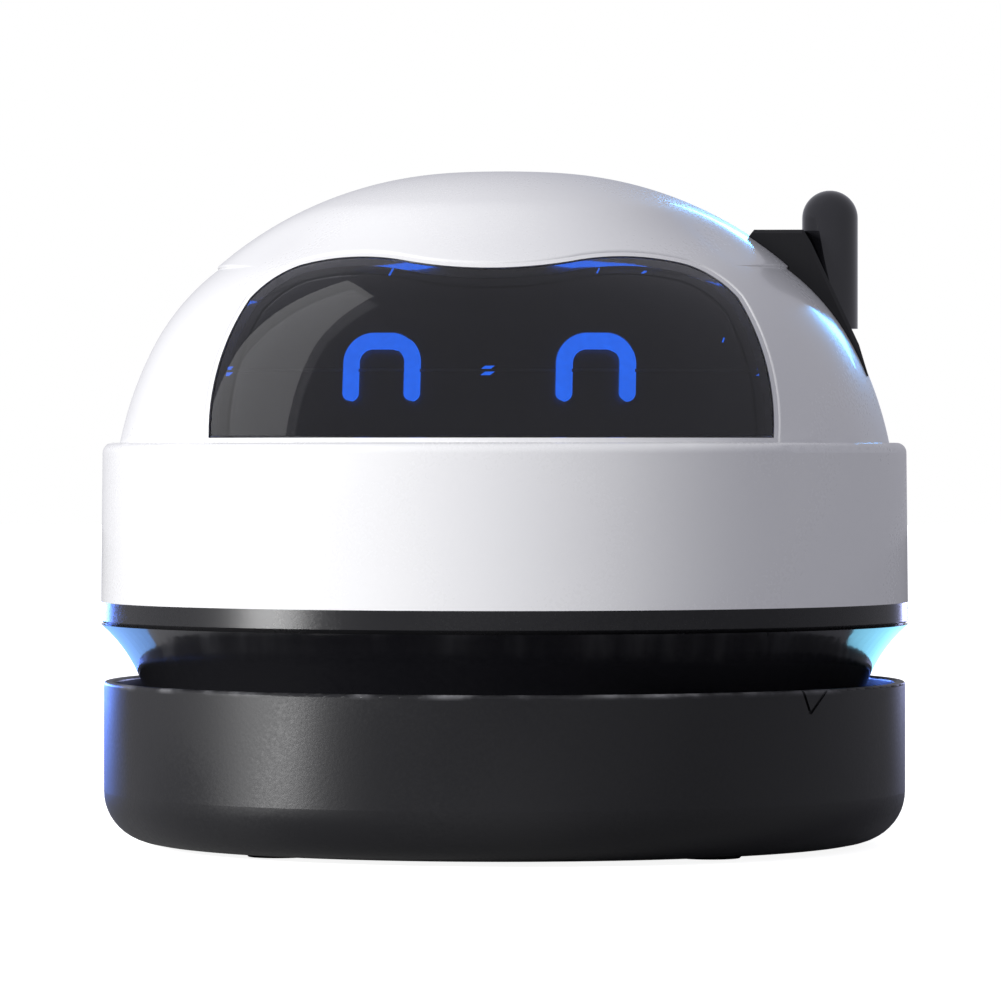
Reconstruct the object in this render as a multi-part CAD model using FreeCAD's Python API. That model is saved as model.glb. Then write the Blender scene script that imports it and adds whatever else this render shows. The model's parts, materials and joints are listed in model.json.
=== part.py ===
import FreeCAD, Part
import math
import os
from FreeCAD import Vector

# Desktop mini vacuum cleaner, millimetres.
# Origin at the centre of the footprint on the desk. +Z up, the face looks to -Y, +X to its right.
# The dust cup stands on the desk, the filter sits in it, and the motor head stands on both.

os.makedirs("parts", exist_ok=True)

UP = Vector(0, 0, 1)
FORWARD = Vector(0, -1, 0)

# Share of a radius along each axis at the middle of a quarter arc
slant = math.sqrt(0.5)

# How far a cutting shape runs past what it cuts, and the least step that counts as one
cut_overrun = 1.0
least_step = 0.001

# Dust cup
foot_standoff = 0.5
cup_radius = 44.7
cup_rim_height = 18.3
cup_wall = 1.7
cup_rim_wall = 1.2
cup_floor = 1.6
cup_corner_radius = 5.6
cup_rim_round = 0.35
well_radius = 22.0
well_ceiling_height = 4.2
well_wall = 1.5
funnel_hole_radius = 14.0

# V mark on the rim, seen from outside, and its angle from the front towards +X
mark_angle = 48.4
mark_width = 4.1
mark_tip_offset = 1.2
mark_depth_down = 2.5
mark_stroke = 0.35
mark_engraving = 0.35

# Glide feet
foot_count = 4
foot_first_deg = 45.0
foot_radius = 3.5
foot_circle_radius = 33.0
foot_recess = 0.4
foot_clearance = 0.1

# Intake funnel and its bristles
funnel_flange_clearance = 0.2
funnel_flange = 1.6
funnel_hole_clearance = 0.2
funnel_mouth_radius = 10.5
funnel_top_radius = 7.5
funnel_wall = 1.3
funnel_top_height = 9.4
bristle_carrier_inner = 12.2
bristle_carrier_outer = 15.4
bristle_carrier = 0.8
bristle_radius = 0.55
bristle_tip_height = 0.1
bristle_rows = ((13.0, 30), (14.6, 34))
funnel_screw_count = 3
funnel_screw_circle = 18.4
funnel_boss_radius = 3.0
funnel_boss_height = 2.2

# Screws: head radius, head height, shank radius
screw_head_radius = 1.9
screw_head_height = 1.3
screw_shank_radius = 1.0
screw_recess_radius = 0.55
screw_clearance = 0.1

# Locking collar, lugs and filter keys
collar_height = 13.6
collar_thickness = 1.6
collar_clearance = 0.1
collar_hole_clearance = 0.6
lug_count = 3
lug_span_deg = 16.0
lug_slot_extra_deg = 4.0
lug_first_deg = 90.0
lug_thickness = 1.8
lug_reach = 3.0
lug_gap = 0.3
lock_turn_deg = 22.0
stop_span_deg = 3.0
stop_drop = 1.6
key_count = 3
key_first_deg = 30.0
key_tab_width = 5.0
key_tab_reach = 3.0
key_gap = 0.3
key_post_side = 1.7
key_post_reach = 3.0
key_post_depth = 4.4
key_rest_gap = 0.1

# Filter
filter_flange = 0.8
filter_ring_wall = 2.0
filter_ring_height = 4.6
filter_running_gap = 0.3
filter_rest_gap = 0.3
mesh_height_in_filter = 1.6
mesh_thickness = 0.6
mesh_pitch = 5.6
mesh_hole = 4.3
mesh_seat_width = 0.1
mesh_rim_margin = 0.18
fleece_thickness = 1.6
fleece_gap = 0.1
filter_cross_width = 1.6

# Neck: concave shroud between the cup and the band
neck_waist_radius = 39.6
neck_waist_height = 13.0
neck_wall = 1.6
neck_top_height = 24.65
neck_skirt_bottom = 11.5
neck_boss_radius = 2.6
neck_boss_circle = 36.0
neck_boss_bottom = 18.0
neck_boss_web = 1.6
neck_boss_angles = (60.0, 120.0, 240.0, 300.0)
vent_count = 11
vent_step_deg = 7.0
vent_middle_deg = 90.0
vent_boss_margin_deg = 1.0
vent_width = 1.7
vent_bottom = 15.6
vent_top = 21.4

# Trim ring and body band
trim_height = 2.5
trim_chamfer = 0.45
trim_width = 2.8
band_radius = 45.0
band_height = 17.65
band_draft = 0.18
band_wall = 1.8
band_top_round = 1.1
ledge_thickness = 1.8
ledge_width = 4.0
band_boss_inset = 3.0
band_boss_radius = 3.2
band_boss_angles = (20.0, 160.0, 200.0, 340.0)
band_boss_pilot = 0.95
band_boss_pilot_depth = 7.0
band_screw_end_gap = 0.5

# Dome
dome_setback = 2.1
dome_side_curve = 41.3
dome_side_lean_deg = 11.5
dome_shoulder_curve = 25.7
dome_shoulder_lean_deg = 26.85
dome_wall = 1.8
dome_spigot_depth = 3.3
dome_spigot_wall = 1.4
dome_spigot_clearance = 0.1
dome_foot_ring = 1.2
crown_edge_radius = 32.1
crown_inset = 0.3
crown_step = 0.614
crown_flat_radius = 3.9
crown_rise = 30.1
crown_wall = 1.8
crown_spigot_radius = 28.9
crown_spigot_wall = 1.1
crown_spigot_depth = 2.0

# Window outline, half of it, as seen from the front: distance from the middle, height above the ledge
window_foot = (30.75, 0.0)
window_side = (30.2, 7.6)
window_shoulder = (26.8, 15.9)
window_corner = (24.6, 17.9)
window_brow_end = (21.0, 19.7)
window_brow = (15.2, 20.5)
window_dip_start = (8.5, 19.9)
window_dip = (0.0, 19.15)
window_back_gap = 5.0

# Lens, its frame and the face behind it
frame_width = 0.5
frame_recess = 0.15
lens_recess = 0.35
lens_inner = 3.0
lens_flange_grow = 1.2
lens_flange_inset = 0.05
lens_flange_lift = 1.4
lens_edge_gap = 0.03
panel_front = 5.0
panel_thickness = 1.2
panel_rim_grow = 0.6
panel_rim_width = 1.4
panel_lift = 0.6
panel_seam_rise = 7.35
panel_seam_width = 0.35
panel_seam_depth = 0.35
panel_slot_span = (10.7, 16.7)
panel_slot_rise = (17.5, 19.1)
panel_slot_depth = 0.7
panel_post_rises = (4.8, 10.8)
panel_post_radius = 1.4
crown_spigot_relief = 2.4

# Eyes: arched light guides
eye_centre = 11.15
eye_outer_width = 8.1
eye_bottom_rise = 4.15
eye_top_rise = 11.2
eye_stroke = 1.6
eye_bend_radius = 2.3
eye_proud = 0.5
eye_hole_clearance = 0.1

# Lamp board behind the eyes
face_board_front = 25.6
face_board_thickness = 1.2
face_board_half_width = 16.0
face_board_rises = (1.4, 12.4)
face_lamp_side = 1.5
face_lamp_height = 0.6

# Chassis plate
chassis_thickness = 1.8
chassis_clearance = 0.2
motor_collar_wall = 1.8
motor_collar_height = 4.0
motor_pilot_radius = 3.0

# Motor and fan
motor_radius = 12.0
motor_length = 23.0
motor_wall = 1.0
motor_clearance = 0.1
motor_cap_length = 2.5
motor_cap_inset = 0.3
motor_pilot_length = 1.4
terminal_width = 2.2
terminal_thickness = 0.5
terminal_length = 2.6
terminal_offset = 7.0
shaft_radius = 1.0
bearing_clearance = 0.05
armature_radius = 9.4
armature_length = 12.0
armature_lift = 4.0
armature_slots = 3
armature_slot_width = 2.2
armature_core_radius = 4.23
armature_first_deg = 90.0
motor_screw_circle = 8.0
motor_screw_head = 1.6
motor_screw_head_height = 0.8
motor_screw_shank = 0.8
motor_screw_length = 3.4
motor_screw_slot = 0.4
shaft_end_gap = 0.3
fan_radius = 25.5
fan_plate = 0.8
fan_blade_height = 3.8
fan_blade_count = 9
fan_blade_thickness = 1.0
fan_blade_inner = 6.5
fan_blade_sweep_deg = 50.0
fan_blade_curl = 1.6
fan_blade_lean_deg = 20.0
fan_hub_radius = 3.2
fan_top_gap = 0.95
fan_bottom_gap = 1.2
housing_radius = 30.0
housing_wall = 1.4
housing_floor = 1.4
housing_inlet_radius = 11.0
housing_window_count = 8
housing_window_deg = 26.0
housing_window_margin = 1.4

# Battery, its holder and the control board
cell_radius = 7.0
cell_length = 50.0
cell_nub_radius = 2.4
cell_nub_length = 0.9
cell_centre_y = 22.6
cell_gap = 0.3
holder_floor = 1.4
holder_end_wall = 1.3
holder_end_height = 11.0
holder_side_height = 5.0
holder_side_wall = 1.2
board_height = 47.0
board_thickness = 1.2
board_half_width = 17.0
board_front = 13.2
board_depth = 20.8
board_tab_width = 4.0
board_tab_centre = 15.0

# Parts on the control board: left and right, distance of front and back from the board's front edge, height
board_blocks = (
    (-9.0, -2.0, 7.8, 14.8, 1.2),
    (1.5, 5.5, 9.8, 13.8, 1.0),
    (8.0, 13.0, 6.8, 11.8, 2.8),
    (-14.5, -11.5, 13.8, 17.8, 2.2),
    (-13.5, -11.9, 3.3, 4.1, 0.7),
    (-11.0, -9.4, 3.3, 4.1, 0.7),
    (3.0, 4.6, 3.3, 4.1, 0.7),
    (6.0, 7.6, 3.3, 4.1, 0.7),
)
board_can_radius = 2.5
board_can_height = 5.0
board_can_place = (11.0, 16.3)

# Charging socket at the back
usb_width = 8.94
usb_thickness = 3.2
usb_length = 7.3
usb_wall = 0.3
usb_centre_height = 36.0
usb_mouth_recess = 0.4
usb_hole_clearance = 0.35
usb_tongue_width = 6.6
usb_tongue_thickness = 0.7
usb_tongue_recess = 0.8
usb_board_thickness = 1.2
usb_board_half_width = 8.0
usb_board_front = 32.0
usb_board_wall_gap = 0.4
usb_post_radius = 2.0
charge_light_offset = 9.5
charge_light_radius = 0.8

# Antenna: bracket on the right side, rod and switch
# Distances outwards from the dome's foot and heights above the ledge, apart from the switch
rod_outwards = -6.6
rod_radius = 3.1
rod_top_rise = 28.1
rod_bottom_rise = 12.7
rod_travel = 1.5
rod_gap = 0.3
stem_radius = 1.5
stem_gap = 0.05
bracket_half_width = 5.0
bracket_chamfer = 0.4
bracket_outline = ((-18.9, 22.8), (-15.6, 22.8), (-15.0, 23.6), (-9.55, 23.6), (-8.7, 22.2),
                   (-3.4, 10.9), (-2.35, 7.4), (-6.9, 5.2), (-18.9, 11.2))
socket_wall = 1.0
socket_floor = 1.0
socket_clearance = 0.05
peg_outwards = -12.7
peg_y = 3.0
peg_radius = 1.2
peg_bottom_rise = 16.4
peg_top_drop = 1.5
peg_screw_head = 1.9
peg_screw_head_height = 1.0
peg_screw_shank = 0.6
peg_screw_length = 3.0
switch_half_x = 2.5
switch_half_y = 2.9
switch_height = 7.8
switch_top_height = 45.3
plunger_radius = 1.2
plunger_tip_radius = 1.0
plunger_gap = 0.05
plunger_depth = 2.8
plunger_tip_length = 2.4
switch_post_half = 3.4

# Motor leads
lead_radius = 0.6
lead_bend = 3.0
lead_rise = 13.8
lead_board_inset = 4.8

# Places that follow from the sizes above
cup_bottom = foot_standoff
cup_floor_top = cup_bottom + cup_floor
cup_inner_radius = cup_radius - cup_wall
cup_rim_inner = cup_radius - cup_rim_wall
funnel_flange_bottom = well_ceiling_height - funnel_flange
well_floor_top = well_ceiling_height + cup_floor
collar_top = collar_height + collar_thickness
lug_bottom = neck_skirt_bottom
skirt_inner_radius = neck_waist_radius - neck_wall
neck_flare = band_radius - neck_waist_radius
neck_rise = neck_top_height - neck_waist_height
neck_curve_radius = (neck_flare ** 2 + neck_rise ** 2) / (2.0 * neck_flare)
filter_bottom = neck_skirt_bottom - filter_rest_gap - filter_flange
filter_ring_radius = skirt_inner_radius - filter_running_gap
filter_ring_inner = filter_ring_radius - filter_ring_wall
mesh_bottom = filter_bottom + mesh_height_in_filter
trim_top = neck_top_height + trim_height
ledge_height = trim_top + band_height
band_inner_radius = band_radius - band_wall
band_boss_circle = band_inner_radius - band_boss_inset
trim_inner_radius = band_radius - trim_width
ledge_hole_radius = band_radius - ledge_width
dome_foot_radius = band_radius - dome_setback
crown_top_height = ledge_height + crown_rise
chassis_top = trim_top + chassis_thickness
motor_top = chassis_top + motor_length
motor_cap_top = motor_top + motor_cap_length
fan_top = trim_top - fan_top_gap
fan_bottom = fan_top - fan_plate - fan_blade_height
housing_floor_top = fan_bottom - fan_bottom_gap
housing_bottom = housing_floor_top - housing_floor
cell_centre_height = chassis_top + holder_floor + cell_gap + cell_radius
eye_bottom_height = ledge_height + eye_bottom_rise
eye_top_height = ledge_height + eye_top_rise
panel_seam_height = ledge_height + panel_seam_rise
rod_x = dome_foot_radius + rod_outwards
rod_top_height = ledge_height + rod_top_rise
rod_bottom_height = ledge_height + rod_bottom_rise
stem_bottom_height = switch_top_height + rod_travel + rod_gap
peg_x = dome_foot_radius + peg_outwards
peg_bottom_height = ledge_height + peg_bottom_rise
bracket_corners = [(dome_foot_radius + out, ledge_height + rise) for out, rise in bracket_outline]


def polar(radius, degrees, height=0.0):
    """Point at an angle from +X."""
    angle = math.radians(degrees)
    return Vector(radius * math.cos(angle), radius * math.sin(angle), height)


def line(start, end):
    return Part.LineSegment(Vector(*start), Vector(*end)).toShape()


def arc(start, middle, end):
    return Part.Arc(Vector(*start), Vector(*middle), Vector(*end)).toShape()


def revolve(edges):
    """Full turn about Z of a closed outline in the XZ plane."""
    face = Part.Face(Part.Wire(edges))
    return face.revolve(Vector(0, 0, 0), UP, 360)


def revolve_points(points):
    """Full turn of a closed outline given as (radius, height) corners."""
    corners = [(radius, 0.0, height) for radius, height in points]
    following = corners[1:] + corners[:1]
    return revolve([line(start, end) for start, end in zip(corners, following)])


def tube(outer, inner, bottom, top):
    """Upright ring, or a disc where the inner radius is 0."""
    ring = Part.makeCylinder(outer, top - bottom, Vector(0, 0, bottom), UP)
    if inner > 0:
        ring = ring.cut(Part.makeCylinder(inner, top - bottom, Vector(0, 0, bottom), UP))
    return ring


def upright(radius, centre, bottom, top):
    """Upright round bar about a point of the plan."""
    return Part.makeCylinder(radius, top - bottom, Vector(centre.x, centre.y, bottom), UP)


def block(x_span, y_span, z_span):
    corner = Vector(x_span[0], y_span[0], z_span[0])
    size = (x_span[1] - x_span[0], y_span[1] - y_span[0], z_span[1] - z_span[0])
    return Part.makeBox(size[0], size[1], size[2], corner)


def sector(outer, inner, bottom, top, middle_deg, span_deg):
    """Part of an upright ring, about an angle from +X."""
    start = middle_deg - span_deg / 2.0
    piece = Part.makeCylinder(outer, top - bottom, Vector(0, 0, bottom), UP, span_deg)
    piece = piece.cut(Part.makeCylinder(inner, top - bottom, Vector(0, 0, bottom), UP))
    piece.rotate(Vector(0, 0, 0), UP, start)
    return piece


def turned(shape, degrees):
    """Copy of a shape, turned about the Z axis."""
    copy = shape.copy()
    copy.rotate(Vector(0, 0, 0), UP, degrees)
    return copy


def evenly(count, first=0.0):
    return [first + 360.0 * index / count for index in range(count)]


def save(name, shape):
    if shape.ShapeType == "Compound" and len(shape.Solids) == 1:
        shape = shape.Solids[0]
    shape.exportStep("parts/" + name + ".step")
    state = "ok" if shape.isValid() else "INVALID"
    print("%-18s solids %d  volume %9.1f  %s" % (name, len(shape.Solids), shape.Volume, state))


# Screws

def screw(head, shank_top):
    """Pan-head screw driven upwards: head is the middle of its bearing face."""
    body = upright(screw_head_radius, head, head.z - screw_head_height, head.z)
    body = body.fuse(upright(screw_shank_radius, head, head.z, shank_top))
    return body.cut(screw_recess(head))


def screw_recess(head):
    """Driver recess in a head whose bearing face is at the given point."""
    return upright(screw_recess_radius, head, head.z - screw_head_height, head.z - screw_head_height / 2.0)


# Dust cup

def cup_body():
    bottom = cup_bottom
    corner = cup_corner_radius
    flat = cup_radius - corner
    inner_corner = corner - cup_floor
    rim_round = cup_rim_round
    well_outer = well_radius + well_wall
    outline = [
        line((flat, 0, bottom), (well_radius, 0, bottom)),
        line((well_radius, 0, bottom), (well_radius, 0, well_ceiling_height)),
        line((well_radius, 0, well_ceiling_height), (funnel_hole_radius, 0, well_ceiling_height)),
        line((funnel_hole_radius, 0, well_ceiling_height), (funnel_hole_radius, 0, well_floor_top)),
        line((funnel_hole_radius, 0, well_floor_top), (well_outer, 0, well_floor_top)),
        line((well_outer, 0, well_floor_top), (well_outer, 0, cup_floor_top)),
        line((well_outer, 0, cup_floor_top), (cup_inner_radius - inner_corner, 0, cup_floor_top)),
        arc((cup_inner_radius - inner_corner, 0, cup_floor_top),
            (cup_inner_radius - inner_corner * (1 - slant), 0, cup_floor_top + inner_corner * (1 - slant)),
            (cup_inner_radius, 0, cup_floor_top + inner_corner)),
        line((cup_inner_radius, 0, cup_floor_top + inner_corner), (cup_inner_radius, 0, collar_height)),
        line((cup_inner_radius, 0, collar_height), (cup_rim_inner, 0, collar_height)),
        line((cup_rim_inner, 0, collar_height), (cup_rim_inner, 0, cup_rim_height - rim_round)),
        arc((cup_rim_inner, 0, cup_rim_height - rim_round),
            (cup_rim_inner + rim_round * (1 - slant), 0, cup_rim_height - rim_round * (1 - slant)),
            (cup_rim_inner + rim_round, 0, cup_rim_height)),
        line((cup_rim_inner + rim_round, 0, cup_rim_height), (cup_radius - rim_round, 0, cup_rim_height)),
        arc((cup_radius - rim_round, 0, cup_rim_height),
            (cup_radius - rim_round * (1 - slant), 0, cup_rim_height - rim_round * (1 - slant)),
            (cup_radius, 0, cup_rim_height - rim_round)),
        line((cup_radius, 0, cup_rim_height - rim_round), (cup_radius, 0, bottom + corner)),
        arc((cup_radius, 0, bottom + corner),
            (cup_radius - corner * (1 - slant), 0, bottom + corner * (1 - slant)),
            (flat, 0, bottom)),
    ]
    return revolve(outline)


def key_post(angle):
    """Stand on the cup's wall that carries a tab of the filter in its notch."""
    half_notch = key_tab_width / 2.0 + key_gap
    half = half_notch + key_post_side
    rest = filter_bottom - key_rest_gap
    top = filter_bottom + filter_flange
    post = block((cup_inner_radius - key_post_reach, cup_inner_radius + cup_wall / 2.0),
                 (-half, half), (rest - key_post_depth, top))
    notch = block((0, cup_inner_radius), (-half_notch, half_notch), (rest, top))
    return turned(post.cut(notch), angle)


def v_mark():
    """Engraved V under the rim; its strokes run down from the rim to the tip."""
    depth_line = cup_radius - mark_engraving
    top = cup_rim_height
    tip = (mark_tip_offset, top - mark_depth_down)
    strokes = []
    for start in (0.0, mark_width):
        run = math.hypot(tip[0] - start, mark_depth_down)
        angle = math.degrees(math.atan2(tip[1] - top, tip[0] - start))
        depth = 2.0 * mark_engraving + cut_overrun
        stroke = Part.makeBox(run, depth, mark_stroke, Vector(0, -depth, -mark_stroke / 2.0))
        stroke.rotate(Vector(0, 0, 0), Vector(0, -1, 0), angle)
        stroke.translate(Vector(start, -depth_line, top))
        strokes.append(stroke)
    mark = strokes[0].fuse(strokes[1])
    return turned(mark, mark_angle)


def dust_cup():
    cup = cup_body()
    for angle in evenly(key_count, key_first_deg):
        cup = cup.fuse(key_post(angle))
    for angle in evenly(funnel_screw_count, key_first_deg):
        place = polar(funnel_screw_circle, angle)
        boss_top = well_floor_top + funnel_boss_height
        cup = cup.fuse(upright(funnel_boss_radius, place, well_floor_top, boss_top))
        pilot_end = well_floor_top + funnel_boss_height / 2.0
        cup = cup.cut(upright(screw_shank_radius, place, well_ceiling_height, pilot_end))
    for angle in evenly(foot_count, foot_first_deg):
        place = polar(foot_circle_radius, angle)
        cup = cup.cut(upright(foot_radius + foot_clearance, place, cup_bottom, cup_bottom + foot_recess))
    return cup.cut(v_mark()).removeSplitter()


def glide_feet():
    feet = []
    for angle in evenly(foot_count, foot_first_deg):
        place = polar(foot_circle_radius, angle)
        foot = upright(foot_radius, place, 0.0, cup_bottom + foot_recess)
        lower_edges = [edge for edge in foot.Edges if edge.Closed and edge.BoundBox.ZMax < cup_bottom / 2.0]
        feet.append(foot.makeChamfer(cup_bottom / 2.0, lower_edges))
    return Part.makeCompound(feet)


def inlet_funnel():
    bottom = funnel_flange_bottom
    throat = funnel_hole_radius - funnel_hole_clearance
    outline = (
        (funnel_mouth_radius, bottom),
        (well_radius - funnel_flange_clearance, bottom),
        (well_radius - funnel_flange_clearance, well_ceiling_height),
        (throat, well_ceiling_height),
        (throat, well_floor_top),
        (funnel_top_radius + funnel_wall, funnel_top_height),
        (funnel_top_radius, funnel_top_height),
    )
    funnel = revolve_points(outline)
    for angle in evenly(funnel_screw_count, key_first_deg):
        place = polar(funnel_screw_circle, angle)
        funnel = funnel.cut(upright(screw_shank_radius + screw_clearance, place, bottom, well_ceiling_height))
    return funnel


def bristle_ring():
    top = funnel_flange_bottom
    ring = tube(bristle_carrier_outer, bristle_carrier_inner, top - bristle_carrier, top)
    tufts = []
    for row_radius, count in bristle_rows:
        for angle in evenly(count):
            place = polar(row_radius, angle)
            tufts.append(upright(bristle_radius, place, bristle_tip_height, top - bristle_carrier / 2.0))
    return ring.multiFuse(tufts)


def funnel_screws():
    screws = []
    for angle in evenly(funnel_screw_count, key_first_deg):
        head = polar(funnel_screw_circle, angle, funnel_flange_bottom)
        screws.append(screw(head, well_floor_top + funnel_boss_height / 2.0))
    return Part.makeCompound(screws)


def lock_collar():
    """Ring in the cup that the neck's lugs turn under, with stops, and slots for the filter's tabs."""
    outer = cup_rim_inner - collar_clearance
    collar = tube(outer, neck_waist_radius + collar_hole_clearance, collar_height, collar_top)
    slot_span = lug_span_deg + lug_slot_extra_deg
    slot_outer = neck_waist_radius + lug_reach + lug_gap
    stop_outer = cup_inner_radius - collar_clearance
    for angle in evenly(lug_count, lug_first_deg):
        slot = sector(slot_outer, neck_waist_radius - lug_gap, collar_height, collar_top, angle,
                      slot_span)
        collar = collar.cut(slot)
        stop_angle = angle + lug_span_deg / 2.0 + lock_turn_deg + stop_span_deg
        stop = sector(stop_outer, neck_waist_radius + collar_hole_clearance, collar_height - stop_drop,
                      collar_height + collar_thickness / 2.0, stop_angle, stop_span_deg)
        collar = collar.fuse(stop)
    tab_slot = block((neck_waist_radius - lug_gap, slot_outer),
                     (-key_tab_width / 2.0 - key_gap, key_tab_width / 2.0 + key_gap),
                     (collar_height, collar_top))
    for angle in evenly(key_count, key_first_deg):
        collar = collar.cut(turned(tab_slot, angle))
    return collar.removeSplitter()


# Filter

def filter_frame():
    flange_radius = skirt_inner_radius + neck_wall / 2.0
    flange_top = filter_bottom + filter_flange
    ring = tube(filter_ring_radius, filter_ring_inner, filter_bottom, filter_bottom + filter_ring_height)
    frame = ring.fuse(tube(flange_radius, filter_ring_inner, filter_bottom, flange_top))
    for angle in (0.0, 90.0):
        bar = block((-filter_ring_inner - filter_ring_wall / 2.0, filter_ring_inner + filter_ring_wall / 2.0),
                    (-filter_cross_width / 2.0, filter_cross_width / 2.0), (filter_bottom, mesh_bottom))
        frame = frame.fuse(turned(bar, angle))
    tab_outer = neck_waist_radius + key_tab_reach
    for angle in evenly(key_count, key_first_deg):
        tab = block((filter_ring_inner + filter_ring_wall / 2.0, tab_outer),
                    (-key_tab_width / 2.0, key_tab_width / 2.0), (filter_bottom, flange_top))
        frame = frame.fuse(turned(tab, angle))
    return frame.removeSplitter()


def filter_mesh():
    """One disc with a square grid of holes."""
    radius = filter_ring_inner - mesh_seat_width
    disc = Part.Face(Part.Wire(Part.makeCircle(radius, Vector(0, 0, mesh_bottom), UP)))
    reach = int(radius / mesh_pitch)
    limit = radius - mesh_hole * slant - mesh_rim_margin
    holes = []
    for column in range(-reach, reach + 1):
        for row in range(-reach, reach + 1):
            x = column * mesh_pitch
            y = row * mesh_pitch
            if math.hypot(x, y) > limit:
                continue
            corner = Vector(x - mesh_hole / 2.0, y - mesh_hole / 2.0, mesh_bottom)
            holes.append(Part.makePlane(mesh_hole, mesh_hole, corner))
    return disc.cut(Part.makeCompound(holes)).extrude(Vector(0, 0, mesh_thickness))


def filter_fleece():
    bottom = mesh_bottom + mesh_thickness
    return tube(filter_ring_inner - fleece_gap, 0.0, bottom, bottom + fleece_thickness)


# Neck, trim ring and band

def neck_arc(wall):
    """Concave run of the neck, from its top edge to the waist, pushed inwards by a wall."""
    centre_x = neck_waist_radius + neck_curve_radius
    radius = neck_curve_radius + wall
    rise = neck_top_height - neck_waist_height
    half_angle = math.asin(rise / radius) / 2.0
    top = (centre_x - math.sqrt(radius ** 2 - rise ** 2), 0, neck_top_height)
    middle = (centre_x - radius * math.cos(half_angle), 0,
              neck_waist_height + radius * math.sin(half_angle))
    bottom = (centre_x - radius, 0, neck_waist_height)
    return top, middle, bottom


def neck_shroud():
    outer_top, outer_middle, outer_bottom = neck_arc(0.0)
    inner_top, inner_middle, inner_bottom = neck_arc(neck_wall)
    skirt = neck_skirt_bottom
    neck = revolve([
        arc(outer_top, outer_middle, outer_bottom),
        line(outer_bottom, (neck_waist_radius, 0, skirt)),
        line((neck_waist_radius, 0, skirt), (skirt_inner_radius, 0, skirt)),
        line((skirt_inner_radius, 0, skirt), inner_bottom),
        arc(inner_bottom, inner_middle, inner_top),
        line(inner_top, outer_top),
    ])
    for angle in evenly(lug_count, lug_first_deg):
        lug = sector(neck_waist_radius + lug_reach, neck_waist_radius - neck_wall / 2.0, lug_bottom,
                     lug_bottom + lug_thickness, angle, lug_span_deg)
        neck = neck.fuse(lug)
    outside = neck_solid()
    for angle in neck_boss_angles:
        place = polar(neck_boss_circle, angle)
        boss = upright(neck_boss_radius, place, neck_boss_bottom, trim_top).common(outside)
        web = block((neck_boss_circle, band_radius), (-neck_boss_web / 2.0, neck_boss_web / 2.0),
                    (neck_boss_bottom, neck_top_height))
        neck = neck.fuse(boss).fuse(turned(web, angle).common(outside))
        neck = neck.cut(upright(screw_shank_radius + screw_clearance, place, neck_boss_bottom, trim_top))
    for index in range(vent_count):
        angle = vent_middle_deg + (index - (vent_count - 1) / 2.0) * vent_step_deg
        vent = block((neck_waist_radius - neck_wall * 2.0, band_radius),
                     (-vent_width / 2.0, vent_width / 2.0), (vent_bottom, vent_top))
        margin = vent_step_deg / 2.0 + vent_boss_margin_deg
        if all(abs(angle - boss_angle) > margin for boss_angle in neck_boss_angles):
            neck = neck.cut(turned(vent, angle))
    return neck.removeSplitter()


def neck_solid():
    """Everything inside the neck's outer face, up to the underside of the chassis."""
    top, middle, bottom = neck_arc(0.0)
    inner = trim_inner_radius - chassis_clearance
    return revolve([
        arc(top, middle, bottom),
        line(bottom, (neck_waist_radius, 0, neck_skirt_bottom)),
        line((neck_waist_radius, 0, neck_skirt_bottom), (0, 0, neck_skirt_bottom)),
        line((0, 0, neck_skirt_bottom), (0, 0, trim_top)),
        line((0, 0, trim_top), (inner, 0, trim_top)),
        line((inner, 0, trim_top), (inner, 0, neck_top_height)),
        line((inner, 0, neck_top_height), top),
    ])


def neck_screws():
    screws = []
    for angle in neck_boss_angles:
        screws.append(screw(polar(neck_boss_circle, angle, neck_boss_bottom), chassis_top))
    return Part.makeCompound(screws)


def trim_ring():
    chamfer = trim_chamfer
    return revolve_points((
        (trim_inner_radius, neck_top_height),
        (band_radius - chamfer, neck_top_height),
        (band_radius, neck_top_height + chamfer),
        (band_radius, trim_top),
        (trim_inner_radius, trim_top),
    ))


def port_slot(grow, y_span):
    """Rounded slot of the charging socket, along Y."""
    half_width = usb_width / 2.0 + grow
    half_height = usb_thickness / 2.0 + grow
    straight = half_width - half_height
    middle = block((-straight, straight), y_span,
                   (usb_centre_height - half_height, usb_centre_height + half_height))
    ends = []
    for side in (-1, 1):
        base = Vector(side * straight, y_span[0], usb_centre_height)
        ends.append(Part.makeCylinder(half_height, y_span[1] - y_span[0], base, Vector(0, 1, 0)))
    return middle.multiFuse(ends).removeSplitter()


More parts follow.
